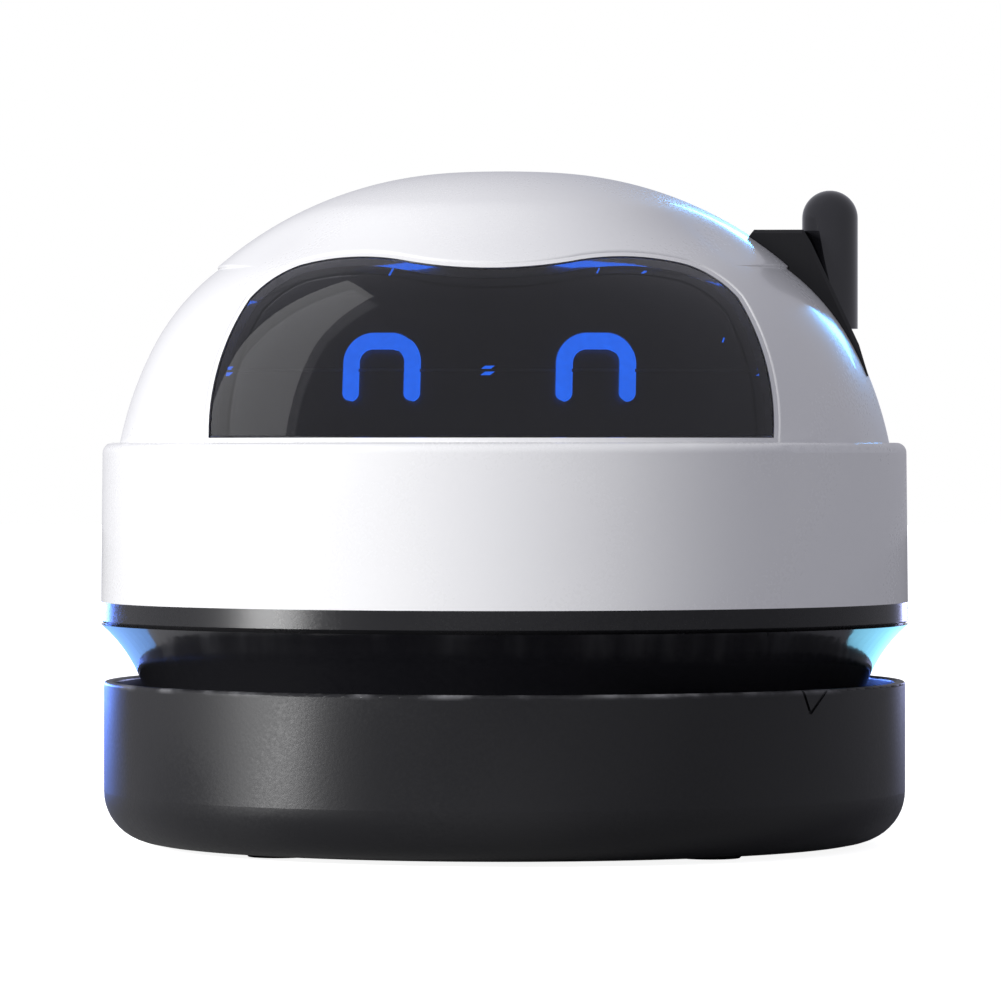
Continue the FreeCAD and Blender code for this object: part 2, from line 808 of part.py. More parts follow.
def body_band():
    bottom = trim_top
    top = ledge_height
    top_radius = band_radius - band_draft
    rounding = band_top_round
    shell = revolve([
        line((band_inner_radius, 0, bottom), (band_radius, 0, bottom)),
        line((band_radius, 0, bottom), (top_radius, 0, top - rounding)),
        arc((top_radius, 0, top - rounding),
            (top_radius - rounding * (1 - slant), 0, top - rounding * (1 - slant)),
            (top_radius - rounding, 0, top)),
        line((top_radius - rounding, 0, top), (ledge_hole_radius, 0, top)),
        line((ledge_hole_radius, 0, top), (ledge_hole_radius, 0, top - ledge_thickness)),
        line((ledge_hole_radius, 0, top - ledge_thickness), (band_inner_radius, 0, top - ledge_thickness)),
        line((band_inner_radius, 0, top - ledge_thickness), (band_inner_radius, 0, bottom)),
    ])
    limit = tube(band_inner_radius + band_wall / 2.0, 0.0, chassis_top, top - ledge_thickness / 2.0)
    for angle in band_boss_angles:
        place = polar(band_boss_circle, angle)
        boss = upright(band_boss_radius, place, chassis_top, top - ledge_thickness / 2.0).common(limit)
        shell = shell.fuse(boss)
    spigot_room = tube(ledge_hole_radius, 0.0, top - dome_spigot_depth - dome_spigot_clearance, top)
    shell = shell.cut(spigot_room)
    for angle in band_boss_angles:
        place = polar(band_boss_circle, angle)
        shell = shell.cut(upright(band_boss_pilot, place, chassis_top, chassis_top + band_boss_pilot_depth))
    shell = shell.cut(port_slot(usb_hole_clearance, (band_inner_radius - band_wall, band_radius + band_wall)))
    return shell.cut(charge_light_bar(charge_light_radius)).removeSplitter()


def charge_light_bar(radius):
    base = Vector(charge_light_offset, band_inner_radius - band_wall * 2.0, usb_centre_height)
    return Part.makeCylinder(radius, band_wall * 4.0, base, Vector(0, 1, 0))


def charge_light():
    """Light pipe from above the socket board out through the band."""
    skin = tube(band_radius - band_draft, 0.0, trim_top, ledge_height)
    return charge_light_bar(charge_light_radius).common(skin)


# Dome

def side_centres():
    """Centres of the side and shoulder curves of the dome."""
    lean = math.radians(dome_side_lean_deg)
    side = (dome_foot_radius - dome_side_curve * math.cos(lean),
            ledge_height - dome_side_curve * math.sin(lean))
    joint = math.radians(dome_shoulder_lean_deg)
    step = dome_side_curve - dome_shoulder_curve
    shoulder = (side[0] + step * math.cos(joint), side[1] + step * math.sin(joint))
    return side, shoulder


def on_curve(centre, radius, degrees):
    angle = math.radians(degrees)
    return (centre[0] + radius * math.cos(angle), 0, centre[1] + radius * math.sin(angle))


def side_solid(inset):
    """Solid under the dome's side and shoulder, drawn in by an inset, with a flat top."""
    side, shoulder = side_centres()
    side_radius = dome_side_curve - inset
    shoulder_radius = dome_shoulder_curve - inset
    foot_deg = math.degrees(math.asin((ledge_height - side[1]) / side_radius))
    joint_deg = dome_shoulder_lean_deg
    foot = on_curve(side, side_radius, foot_deg)
    side_middle = on_curve(side, side_radius, (foot_deg + joint_deg) / 2.0)
    joint = on_curve(side, side_radius, joint_deg)
    shoulder_middle = on_curve(shoulder, shoulder_radius, (joint_deg + 90.0) / 2.0)
    summit = on_curve(shoulder, shoulder_radius, 90.0)
    return revolve([
        line((0, 0, ledge_height), foot),
        arc(foot, side_middle, joint),
        arc(joint, shoulder_middle, summit),
        line(summit, (0, 0, summit[2])),
        line((0, 0, summit[2]), (0, 0, ledge_height)),
    ])


def crown_seat_height():
    """Height where the crown's edge stands on the shoulder."""
    shoulder = side_centres()[1]
    run = crown_edge_radius + crown_inset - shoulder[0]
    return shoulder[1] + math.sqrt(dome_shoulder_curve ** 2 - run ** 2)


def crown_curve_radius():
    """Radius of the crown's curve, from its edge up to its flat top."""
    rise = crown_top_height - crown_seat_height() - crown_step
    reach = crown_edge_radius - crown_flat_radius
    return (reach ** 2 + rise ** 2) / (2.0 * rise)


def crown_solid(inset, bottom):
    """Solid under the crown, drawn in by an inset."""
    curve = crown_curve_radius()
    centre_height = crown_top_height - curve
    radius = curve - inset
    centre = (crown_flat_radius, centre_height)
    edge_radius = crown_edge_radius
    if inset > 0:
        edge_radius = crown_flat_radius + math.sqrt(radius ** 2 - (bottom - centre_height) ** 2)
    edge_deg = math.degrees(math.acos((edge_radius - crown_flat_radius) / radius))
    edge = on_curve(centre, radius, edge_deg)
    middle = on_curve(centre, radius, (edge_deg + 90.0) / 2.0)
    top = on_curve(centre, radius, 90.0)
    outline = [
        arc(edge, middle, top),
        line(top, (0, 0, top[2])),
        line((0, 0, top[2]), (0, 0, bottom)),
        line((0, 0, bottom), (edge_radius, 0, bottom)),
    ]
    if edge[2] - bottom > least_step:
        outline.append(line((edge_radius, 0, bottom), edge))
    return revolve(outline)


def window_wire(grow):
    """Outline of the face window in a plane in front of the object, grown outwards."""
    plane_y = -2.0 * band_radius

    def place(point, side):
        return Vector(side * point[0], plane_y, ledge_height + point[1])

    edges = []
    for side in (1, -1):
        edges.append(Part.Arc(place(window_foot, side), place(window_side, side),
                              place(window_shoulder, side)).toShape())
        edges.append(Part.Arc(place(window_shoulder, side), place(window_corner, side),
                              place(window_brow_end, side)).toShape())
        edges.append(Part.Arc(place(window_brow_end, side), place(window_brow, side),
                              place(window_dip_start, side)).toShape())
    dip_ends = (place(window_dip_start, 1), place(window_dip_start, -1))
    edges.append(Part.Arc(dip_ends[0], place(window_dip, 1), dip_ends[1]).toShape())
    edges.append(Part.LineSegment(place(window_foot, -1), place(window_foot, 1)).toShape())
    wire = Part.Wire(Part.__sortEdges__(edges))
    if grow:
        wire = wire.makeOffset2D(grow)
    return wire


def window_prism(grow):
    """The window outline carried back through the front half of the object."""
    return Part.Face(window_wire(grow)).extrude(Vector(0, 2.0 * band_radius - window_back_gap, 0))


def shell_between(outer_inset, inner_inset):
    return side_solid(outer_inset).cut(side_solid(inner_inset))


def antenna_socket(grow):
    """Round socket of the antenna bracket, from its floor upwards."""
    radius = rod_radius + rod_gap + socket_wall + grow
    floor = rod_bottom_height - rod_travel - rod_gap - socket_floor - grow
    return Part.makeCylinder(radius, crown_top_height - floor, Vector(rod_x, 0, floor), UP)


def peg_places():
    return (Vector(peg_x, -peg_y, 0), Vector(peg_x, peg_y, 0))


def bracket_cuts():
    """Room in the dome for the bracket's socket and pegs and for the rod's stem."""
    cuts = [antenna_socket(socket_clearance)]
    for place in peg_places():
        cuts.append(upright(peg_radius + socket_clearance, place, peg_bottom_height, crown_top_height))
    cuts.append(Part.makeCylinder(stem_radius + rod_gap, rod_bottom_height - ledge_height,
                                  Vector(rod_x, 0, ledge_height), UP))
    return cuts


def dome_shell():
    top = crown_seat_height()
    shell = shell_between(0.0, dome_wall).common(tube(band_radius, 0.0, ledge_height, top))
    foot_ring = side_solid(0.0).common(tube(band_radius, 0.0, ledge_height, ledge_height + dome_foot_ring))
    spigot_outer = ledge_hole_radius - dome_spigot_clearance
    spigot_inner = spigot_outer - dome_spigot_wall
    foot_ring = foot_ring.cut(tube(spigot_inner, 0.0, ledge_height, ledge_height + dome_foot_ring))
    foot_ring = foot_ring.cut(window_prism(panel_rim_grow + dome_spigot_clearance))
    shell = shell.cut(window_prism(0.0)).fuse(foot_ring)
    shell = shell.fuse(tube(spigot_outer, spigot_inner, ledge_height - dome_spigot_depth, ledge_height))
    for cut in bracket_cuts():
        shell = shell.cut(cut)
    return shell.removeSplitter()


def crown_cap():
    seat = crown_seat_height()
    cap = crown_solid(0.0, seat).cut(crown_solid(crown_wall, seat))
    spigot = tube(crown_spigot_radius, crown_spigot_radius - crown_spigot_wall, seat - crown_spigot_depth,
                  seat + crown_wall)
    spigot = spigot.common(crown_solid(crown_wall / 2.0, seat - crown_spigot_depth))
    spigot = spigot.cut(window_prism(crown_spigot_relief))
    cap = cap.fuse(spigot).cut(window_prism(0.0))
    for cut in bracket_cuts():
        cap = cap.cut(cut)
    return cap.removeSplitter()


def visor_frame():
    ring = window_prism(0.0).cut(window_prism(-frame_width))
    return ring.common(shell_between(frame_recess, dome_wall))


def visor_lens():
    window = window_prism(-frame_width - lens_edge_gap).common(shell_between(lens_recess, lens_inner))
    lift = ledge_height + lens_flange_lift
    above = block((-band_radius, band_radius), (-band_radius, 0.0), (lift, crown_top_height))
    flange = window_prism(lens_flange_grow).common(above)
    flange = flange.common(shell_between(dome_wall + lens_flange_inset, lens_inner))
    return window.fuse(flange).removeSplitter()


def eye_wire(centre_x, grow):
    """Arched stroke with round ends, in a plane in front of the object."""
    plane_y = -2.0 * band_radius
    half = eye_stroke / 2.0 + grow
    leg = (eye_outer_width - eye_stroke) / 2.0
    foot = eye_bottom_height + eye_stroke / 2.0
    crest = eye_top_height - eye_stroke / 2.0
    bend = eye_bend_radius
    outer = bend + half
    inner = bend - half

    def at(x, z):
        return Vector(centre_x + x, plane_y, z)

    def turn(side, radius):
        centre_px = side * (leg - bend)
        centre_pz = crest - bend
        return (at(centre_px + side * radius, centre_pz),
                at(centre_px + side * radius * slant, centre_pz + radius * slant),
                at(centre_px, centre_pz + radius))

    right_outer = turn(1, outer)
    left_outer = turn(-1, outer)
    right_inner = turn(1, inner)
    left_inner = turn(-1, inner)
    edges = [
        Part.Arc(at(leg - half, foot), at(leg, foot - half), at(leg + half, foot)),
        Part.LineSegment(at(leg + half, foot), right_outer[0]),
        Part.Arc(*right_outer),
        Part.LineSegment(right_outer[2], left_outer[2]),
        Part.Arc(*left_outer),
        Part.LineSegment(left_outer[0], at(-leg - half, foot)),
        Part.Arc(at(-leg - half, foot), at(-leg, foot - half), at(-leg + half, foot)),
        Part.LineSegment(at(-leg + half, foot), left_inner[0]),
        Part.Arc(*left_inner),
        Part.LineSegment(left_inner[2], right_inner[2]),
        Part.Arc(*right_inner),
        Part.LineSegment(right_inner[0], at(leg - half, foot)),
    ]
    return Part.Wire([edge.toShape() for edge in edges])


def eye_prism(centre_x, grow, back_y):
    return Part.Face(eye_wire(centre_x, grow)).extrude(Vector(0, 2.0 * band_radius + back_y, 0))


def eye_light(side):
    """Light guide from the lamps to just in front of the face panel."""
    back = -(face_board_front + face_lamp_height)
    return eye_prism(side * eye_centre, 0.0, back).common(side_solid(panel_front - eye_proud))


def face_panel():
    """Tray behind the lens: a plate that follows it and a rim that meets its back."""
    clear = block((-band_radius, band_radius), (-band_radius, 0.0),
                  (ledge_height + panel_lift, crown_top_height))
    outer = window_prism(panel_rim_grow).common(clear)
    plate = outer.common(shell_between(panel_front, panel_front + panel_thickness))
    rim = outer.cut(window_prism(panel_rim_grow - panel_rim_width))
    rim = rim.common(shell_between(lens_inner, panel_front + panel_thickness))
    panel = plate.fuse(rim)
    for rise in panel_post_rises:
        base = Vector(0, -face_board_front, ledge_height + rise)
        post = Part.makeCylinder(panel_post_radius, band_radius, base, FORWARD)
        panel = panel.fuse(post.common(side_solid(panel_front + panel_thickness / 2.0)))
    seam = shell_between(0.0, panel_front + panel_seam_depth)
    seam = seam.common(tube(band_radius, 0.0, panel_seam_height - panel_seam_width / 2.0,
                            panel_seam_height + panel_seam_width / 2.0))
    seam = seam.common(window_prism(panel_rim_grow - panel_rim_width))
    panel = panel.cut(seam)
    slot_skin = shell_between(0.0, panel_front + panel_slot_depth)
    slot_heights = [ledge_height + rise for rise in panel_slot_rise]
    for side in (-1, 1):
        span = sorted((side * panel_slot_span[0], side * panel_slot_span[1]))
        slot = block(span, (-band_radius, 0.0), slot_heights).common(slot_skin)
        panel = panel.cut(slot.common(window_prism(panel_rim_grow - panel_rim_width)))
        panel = panel.cut(eye_prism(side * eye_centre, eye_hole_clearance, -face_board_front))
    return panel.removeSplitter()


def face_board():
    return block((-face_board_half_width, face_board_half_width),
                 (-face_board_front, -face_board_front + face_board_thickness),
                 [ledge_height + rise for rise in face_board_rises])


def face_lamps():
    """Three lamps behind each eye: one at each leg and one at the crest."""
    leg = (eye_outer_width - eye_stroke) / 2.0
    low = eye_bottom_height + eye_stroke
    crest = eye_top_height - eye_stroke / 2.0
    half = face_lamp_side / 2.0
    lamps = []
    for side in (-1, 1):
        for x, z in ((-leg, low), (leg, low), (0.0, crest)):
            middle = side * eye_centre + x
            lamps.append(block((middle - half, middle + half),
                               (-face_board_front - face_lamp_height, -face_board_front),
                               (z - half, z + half)))
    return Part.makeCompound(lamps)


# Chassis, motor and fan

def chassis():
    outer = band_inner_radius - chassis_clearance
    plate = tube(outer, 0.0, trim_top, chassis_top)
    collar_inner = motor_radius + motor_clearance
    collar = tube(collar_inner + motor_collar_wall, collar_inner, chassis_top,
                  chassis_top + motor_collar_height)
    plate = plate.fuse(collar)
    for side in (-1, 1):
        post = Vector(side * (usb_board_half_width - usb_post_radius), usb_board_front + usb_post_radius, 0)
        plate = plate.fuse(upright(usb_post_radius, post, chassis_top, usb_board_bottom()))
    plate = plate.fuse(block((rod_x - switch_post_half, rod_x + switch_half_x),
                             (-switch_post_half, switch_post_half),
                             (chassis_top, switch_top_height - switch_height)))
    plate = plate.cut(tube(motor_pilot_radius + motor_clearance, 0.0, trim_top, chassis_top))
    for angle in band_boss_angles:
        place = polar(band_boss_circle, angle)
        plate = plate.cut(upright(screw_shank_radius + screw_clearance, place, trim_top, chassis_top))
    for angle in neck_boss_angles:
        place = polar(neck_boss_circle, angle)
        plate = plate.cut(upright(screw_shank_radius, place, trim_top, chassis_top))
    for place in motor_screw_places():
        head_top = trim_top + motor_screw_head_height
        plate = plate.cut(upright(motor_screw_head + screw_clearance, place, trim_top, head_top))
        plate = plate.cut(upright(motor_screw_shank + screw_clearance, place, trim_top, chassis_top))
    return plate.removeSplitter()


def chassis_screws():
    screws = []
    for angle in band_boss_angles:
        screws.append(short_screw(polar(band_boss_circle, angle, trim_top)))
    return Part.makeCompound(screws)


def short_screw(head):
    """Screw from under the chassis into a boss of the band; its head fits inside the trim ring."""
    head_radius = trim_inner_radius - band_boss_circle - screw_clearance
    body = upright(head_radius, head, head.z - screw_head_height, head.z)
    end = chassis_top + band_boss_pilot_depth - band_screw_end_gap
    body = body.fuse(upright(band_boss_pilot, head, head.z, end))
    return body.cut(screw_recess(head))


def motor_screw_places():
    return (Vector(motor_screw_circle, 0, 0), Vector(-motor_screw_circle, 0, 0))


def motor_screws():
    screws = []
    for place in motor_screw_places():
        head_top = trim_top + motor_screw_head_height
        body = upright(motor_screw_head, place, trim_top, head_top)
        body = body.fuse(upright(motor_screw_shank, place, head_top, head_top + motor_screw_length))
        slot = block((place.x - motor_screw_head, place.x + motor_screw_head),
                     (-motor_screw_slot / 2.0, motor_screw_slot / 2.0),
                     (trim_top, trim_top + motor_screw_head_height / 2.0))
        screws.append(body.cut(slot))
    return Part.makeCompound(screws)


def motor_can():
    can = tube(motor_radius, motor_radius - motor_wall, chassis_top, motor_top)
    face = tube(motor_radius, shaft_radius + bearing_clearance, chassis_top, chassis_top + motor_wall * 2.0)
    pilot = tube(motor_pilot_radius, shaft_radius + bearing_clearance,
                 chassis_top - motor_pilot_length, chassis_top)
    can = can.fuse(face).fuse(pilot)
    for place in motor_screw_places():
        can = can.cut(upright(motor_screw_shank, place, chassis_top,
                              chassis_top + motor_wall * 2.0 + cut_overrun))
    return can.removeSplitter()


def motor_end_cap():
    cap = tube(motor_radius - motor_cap_inset, 0.0, motor_top, motor_cap_top)
    bearing_height = motor_top - motor_wall * 2.0
    cap = cap.fuse(tube(motor_radius - motor_wall - motor_clearance, 0.0, bearing_height, motor_top))
    cap = cap.cut(upright(shaft_radius + bearing_clearance, Vector(0, 0, 0), bearing_height,
                          shaft_top() + shaft_end_gap))
    for side in (-1, 1):
        middle = side * terminal_offset
        tag = block((-terminal_width / 2.0, terminal_width / 2.0),
                    (middle - terminal_thickness / 2.0, middle + terminal_thickness / 2.0),
                    (motor_cap_top, motor_cap_top + terminal_length))
        cap = cap.fuse(tag)
    return cap.removeSplitter()


def shaft_top():
    return chassis_top + motor_length - motor_wall


def motor_shaft():
    return tube(shaft_radius, 0.0, fan_bottom, shaft_top())


def motor_armature():
    bottom = chassis_top + armature_lift
    body = tube(armature_radius, shaft_radius, bottom, bottom + armature_length)
    for angle in evenly(armature_slots, armature_first_deg):
        slot = block((armature_core_radius, armature_radius + cut_overrun),
                     (-armature_slot_width / 2.0, armature_slot_width / 2.0),
                     (bottom, bottom + armature_length))
        body = body.cut(turned(slot, angle))
    return body


def fan_blade():
    """Blade swept back from the hub to the rim, as a curved wall."""
    sweep = math.radians(fan_blade_sweep_deg)
    lean = math.radians(fan_blade_lean_deg)
    half = fan_blade_thickness / 2.0

    def along(share, offset):
        radius = fan_blade_inner + (fan_radius - fan_blade_inner) * share
        angle = -sweep * share
        across = angle * fan_blade_curl - lean
        return Vector(radius * math.cos(angle) + offset * math.sin(across),
                      radius * math.sin(angle) - offset * math.cos(across), fan_bottom)

    outer = Part.Arc(along(0.0, half), along(0.5, half), along(1.0, half)).toShape()
    tip = Part.LineSegment(along(1.0, half), along(1.0, -half)).toShape()
    inner = Part.Arc(along(1.0, -half), along(0.5, -half), along(0.0, -half)).toShape()
    root = Part.LineSegment(along(0.0, -half), along(0.0, half)).toShape()
    wall = Part.Face(Part.Wire([outer, tip, inner, root]))
    return wall.extrude(Vector(0, 0, fan_blade_height + fan_plate / 2.0))


def impeller():
    plate_bottom = fan_top - fan_plate
    fan = tube(fan_radius, 0.0, plate_bottom, fan_top)
    fan = fan.fuse(tube(fan_hub_radius, 0.0, fan_bottom, plate_bottom))
    limit = tube(fan_radius, 0.0, fan_bottom, fan_top)
    blade = fan_blade().common(limit)
    fan = fan.multiFuse([turned(blade, angle) for angle in evenly(fan_blade_count)])
    return fan.cut(tube(shaft_radius, 0.0, fan_bottom, fan_top)).removeSplitter()


def fan_housing():
    wall = tube(housing_radius, housing_radius - housing_wall, housing_bottom, trim_top)
    floor = tube(housing_radius, housing_inlet_radius, housing_bottom, housing_floor_top)
    housing = wall.fuse(floor)
    for angle in evenly(housing_window_count):
        window = sector(housing_radius + cut_overrun, housing_radius - housing_wall - cut_overrun,
                        housing_floor_top + housing_window_margin, trim_top - housing_window_margin,
                        angle, housing_window_deg)
        housing = housing.cut(window)
    return housing.removeSplitter()


# Battery and boards

def battery_cell():
    base = Vector(-cell_length / 2.0, cell_centre_y, cell_centre_height)
    cell = Part.makeCylinder(cell_radius, cell_length, base, Vector(1, 0, 0))
    nub_base = Vector(cell_length / 2.0, cell_centre_y, cell_centre_height)
    return cell.fuse(Part.makeCylinder(cell_nub_radius, cell_nub_length, nub_base, Vector(1, 0, 0)))


def battery_holder():
    half_length = cell_length / 2.0 + cell_nub_length + cell_gap
    near = cell_centre_y - cell_radius - cell_gap
    far = cell_centre_y + cell_radius + cell_gap
    front = near - holder_side_wall
    back = far + holder_side_wall
    reach = half_length + holder_end_wall
    bottom = chassis_top
    floor_top = bottom + holder_floor
    holder = block((-reach, reach), (front, back), (bottom, floor_top))
    for side in (-1, 1):
        x_span = sorted((side * half_length, side * reach))
        holder = holder.fuse(block(x_span, (front, back), (bottom, bottom + holder_end_height)))
        tab_middle = side * board_tab_centre
        tab_span = (tab_middle - board_tab_width / 2.0, tab_middle + board_tab_width / 2.0)
        holder = holder.fuse(block(tab_span, (front, near), (bottom, board_height)))
        holder = holder.fuse(block(tab_span, (far, back), (bottom, board_height)))
    for y_span in ((front, near), (far, back)):
        holder = holder.fuse(block((-reach, reach), y_span, (bottom, bottom + holder_side_height)))
    return holder.removeSplitter()


def main_board():
    return block((-board_half_width, board_half_width), (board_front, board_front + board_depth),
                 (board_height, board_height + board_thickness))


def board_parts():
    """Two chips, a coil, a lead connector, four small resistors and a capacitor can on the control board."""
    top = board_height + board_thickness
    parts = []
    for left, right, front, back, height in board_blocks:
        parts.append(block((left, right), (board_front + front, board_front + back), (top, top + height)))
    can_x, can_y = board_can_place
    base = Vector(can_x, board_front + can_y, top)
    parts.append(Part.makeCylinder(board_can_radius, board_can_height, base, UP))
    return Part.makeCompound(parts)


def usb_board_bottom():
    return usb_centre_height - usb_thickness / 2.0 - usb_board_thickness


def usb_mouth_y():
    return band_radius - band_draft - usb_mouth_recess


def usb_board():
    """Board under the charging socket, rounded to stay inside the band."""
    bottom = usb_board_bottom()
    board = block((-usb_board_half_width, usb_board_half_width), (usb_board_front, band_radius),
                  (bottom, bottom + usb_board_thickness))
    inside = tube(band_inner_radius - usb_board_wall_gap, 0.0, bottom, bottom + usb_board_thickness)
    return board.common(inside)


def usb_shell():
    mouth = usb_mouth_y()
    outer = port_slot(0.0, (mouth - usb_length, mouth))
    return outer.cut(port_slot(-usb_wall, (mouth - usb_length + usb_wall * 2.0, mouth)))


def usb_tongue():
    mouth = usb_mouth_y()
    half = usb_tongue_width / 2.0
    thickness = usb_tongue_thickness / 2.0
    back = mouth - usb_length + usb_wall * 2.0
    return block((-half, half), (back, mouth - usb_tongue_recess),
                 (usb_centre_height - thickness, usb_centre_height + thickness))


# Antenna and switch

def bracket_prism():
    points = [Vector(x, -bracket_half_width, z) for x, z in bracket_corners]
    face = Part.Face(Part.makePolygon(points + points[:1]))
    prism = face.extrude(Vector(0, 2.0 * bracket_half_width, 0))
    crest_start = bracket_corners[2]
    slope_end = bracket_corners[5]
    edges = []
    for edge in prism.Edges:
        box = edge.BoundBox
        along_side = box.YLength < bracket_half_width
        if along_side and box.XMin > crest_start[0] - least_step and box.ZMin > slope_end[1] - least_step:
            edges.append(edge)
    return prism.makeChamfer(bracket_chamfer, edges)


def antenna_bracket():
    prism = bracket_prism()
    bracket = prism.cut(side_solid(0.0)).cut(crown_solid(0.0, crown_seat_height()))
    bracket = bracket.fuse(antenna_socket(0.0).common(prism))
    for place in peg_places():
        peg = upright(peg_radius, place, peg_bottom_height, bracket_corners[2][1] - peg_top_drop)
        bracket = bracket.fuse(peg)
    bore_floor = rod_bottom_height - rod_travel - rod_gap
    bracket = bracket.cut(Part.makeCylinder(rod_radius + rod_gap, crown_top_height - bore_floor,
                                            Vector(rod_x, 0, bore_floor), UP))
    bracket = bracket.cut(Part.makeCylinder(stem_radius + stem_gap, crown_top_height - ledge_height,
                                            Vector(rod_x, 0, ledge_height), UP))
    for place in peg_places():
        bracket = bracket.cut(upright(peg_screw_shank, place, peg_bottom_height,
                                      peg_bottom_height + peg_screw_length))
    return bracket.removeSplitter()


def bracket_screws():
    screws = []
    for place in peg_places():
        body = upright(peg_screw_head, place, peg_bottom_height - peg_screw_head_height, peg_bottom_height)
        body = body.fuse(upright(peg_screw_shank, place, peg_bottom_height,
                                 peg_bottom_height + peg_screw_length))
        screws.append(body)
    return Part.makeCompound(screws)


def antenna_rod():
    shoulder = rod_top_height - rod_radius
    profile = revolve([
        line((0, 0, stem_bottom_height), (stem_radius, 0, stem_bottom_height)),
        line((stem_radius, 0, stem_bottom_height), (stem_radius, 0, rod_bottom_height)),
        line((stem_radius, 0, rod_bottom_height), (rod_radius, 0, rod_bottom_height)),
        line((rod_radius, 0, rod_bottom_height), (rod_radius, 0, shoulder)),
        arc((rod_radius, 0, shoulder), (rod_radius * slant, 0, shoulder + rod_radius * slant),
            (0, 0, rod_top_height)),
        line((0, 0, rod_top_height), (0, 0, stem_bottom_height)),
    ])
    socket = tube(plunger_tip_radius, 0.0, stem_bottom_height, stem_bottom_height + plunger_tip_length)
    rod = profile.cut(socket)
    rod.translate(Vector(rod_x, 0, 0))
    return rod


def power_switch():
    body = block((rod_x - switch_half_x, rod_x + switch_half_x), (-switch_half_y, switch_half_y),
                 (switch_top_height - switch_height, switch_top_height))
    depth = plunger_depth + rod_travel + rod_gap
    well = Part.makeCylinder(plunger_radius + plunger_gap, depth,
                             Vector(rod_x, 0, switch_top_height - depth), UP)
    return body.cut(well)


def switch_plunger():
    bottom = switch_top_height - plunger_depth
    lower = Part.makeCylinder(plunger_radius, stem_bottom_height - bottom, Vector(rod_x, 0, bottom), UP)
    tip = Part.makeCylinder(plunger_tip_radius, plunger_tip_length, Vector(rod_x, 0, stem_bottom_height), UP)
    return lower.fuse(tip)


# Motor leads

def lead(side):
    """Insulated wire from a motor terminal up and over to the control board."""
    x = side * (terminal_width / 2.0 + lead_radius)
    start_y = terminal_offset
    start_z = motor_cap_top + terminal_length / 2.0
    end_z = board_height + board_thickness
    top = end_z + lead_rise
    bend = lead_bend
    far = board_front + lead_board_inset
    edges = [
        line((x, start_y, start_z), (x, start_y, top - bend)),
        arc((x, start_y, top - bend), (x, start_y + bend * (1 - slant), top - bend * (1 - slant)),
            (x, start_y + bend, top)),
        line((x, start_y + bend, top), (x, far - bend, top)),
        arc((x, far - bend, top), (x, far - bend * (1 - slant), top - bend * (1 - slant)),
            (x, far, top - bend)),
        line((x, far, top - bend), (x, far, end_z)),
    ]
    path = Part.Wire(edges)
    ring = Part.Wire(Part.makeCircle(lead_radius, Vector(x, start_y, start_z), UP))
    return path.makePipeShell([ring], True, False)


def motor_leads():
    return Part.makeCompound([lead(-1), lead(1)])


nodes = {
    "dust_cup": dust_cup,
    "glide_feet": glide_feet,
    "inlet_funnel": inlet_funnel,
    "bristle_ring": bristle_ring,
    "funnel_screws": funnel_screws,
    "lock_collar": lock_collar,
    "filter_frame": filter_frame,
    "filter_mesh": filter_mesh,
    "filter_fleece": filter_fleece,
    "neck_shroud": neck_shroud,
    "neck_screws": neck_screws,
    "trim_ring": trim_ring,
    "body_band": body_band,
    "charge_light": charge_light,
    "dome_shell": dome_shell,
    "crown_cap": crown_cap,
    "visor_frame": visor_frame,
    "visor_lens": visor_lens,
    "face_panel": face_panel,
    "eye_light_left": lambda: eye_light(-1),
    "eye_light_right": lambda: eye_light(1),
    "face_board": face_board,
    "face_lamps": face_lamps,
    "chassis": chassis,
    "chassis_screws": chassis_screws,
    "motor_can": motor_can,
    "motor_end_cap": motor_end_cap,
    "motor_screws": motor_screws,
    "motor_shaft": motor_shaft,
    "motor_armature": motor_armature,
    "impeller": impeller,
    "fan_housing": fan_housing,
    "battery_cell": battery_cell,
    "battery_holder": battery_holder,
    "main_board": main_board,
    "board_parts": board_parts,
    "usb_board": usb_board,
    "usb_shell": usb_shell,
    "usb_tongue": usb_tongue,
    "antenna_bracket": antenna_bracket,
    "bracket_screws": bracket_screws,
    "antenna_rod": antenna_rod,
    "power_switch": power_switch,
    "switch_plunger": switch_plunger,
    "motor_leads": motor_leads,
}

for node_name, make in nodes.items():
    save(node_name, make())
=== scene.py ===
"""Looks of a desktop mini vacuum cleaner: domed head with a lit face window, side antenna, dust cup."""

import json
import logging
import math
from dataclasses import dataclass
from enum import Enum
from typing import Any

import bpy
import numpy as np
from mathutils import Matrix, Vector
from mathutils.geometry import delaunay_2d_cdt


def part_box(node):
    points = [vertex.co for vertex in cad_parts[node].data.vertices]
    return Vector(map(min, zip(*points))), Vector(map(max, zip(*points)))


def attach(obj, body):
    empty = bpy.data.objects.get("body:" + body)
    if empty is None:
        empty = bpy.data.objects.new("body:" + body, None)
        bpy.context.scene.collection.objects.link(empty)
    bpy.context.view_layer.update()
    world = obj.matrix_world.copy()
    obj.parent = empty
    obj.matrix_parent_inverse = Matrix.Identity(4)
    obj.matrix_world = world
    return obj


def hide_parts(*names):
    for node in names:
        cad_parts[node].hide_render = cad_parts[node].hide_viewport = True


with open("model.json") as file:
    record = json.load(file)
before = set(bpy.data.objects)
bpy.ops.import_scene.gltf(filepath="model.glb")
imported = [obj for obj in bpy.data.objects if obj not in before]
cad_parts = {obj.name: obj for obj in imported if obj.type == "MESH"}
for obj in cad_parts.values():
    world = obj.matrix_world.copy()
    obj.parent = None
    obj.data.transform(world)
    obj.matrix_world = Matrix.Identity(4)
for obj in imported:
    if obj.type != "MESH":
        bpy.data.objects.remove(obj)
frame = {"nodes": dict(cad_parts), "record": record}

log = logging.getLogger("desk_vacuum")
MM = 0.001

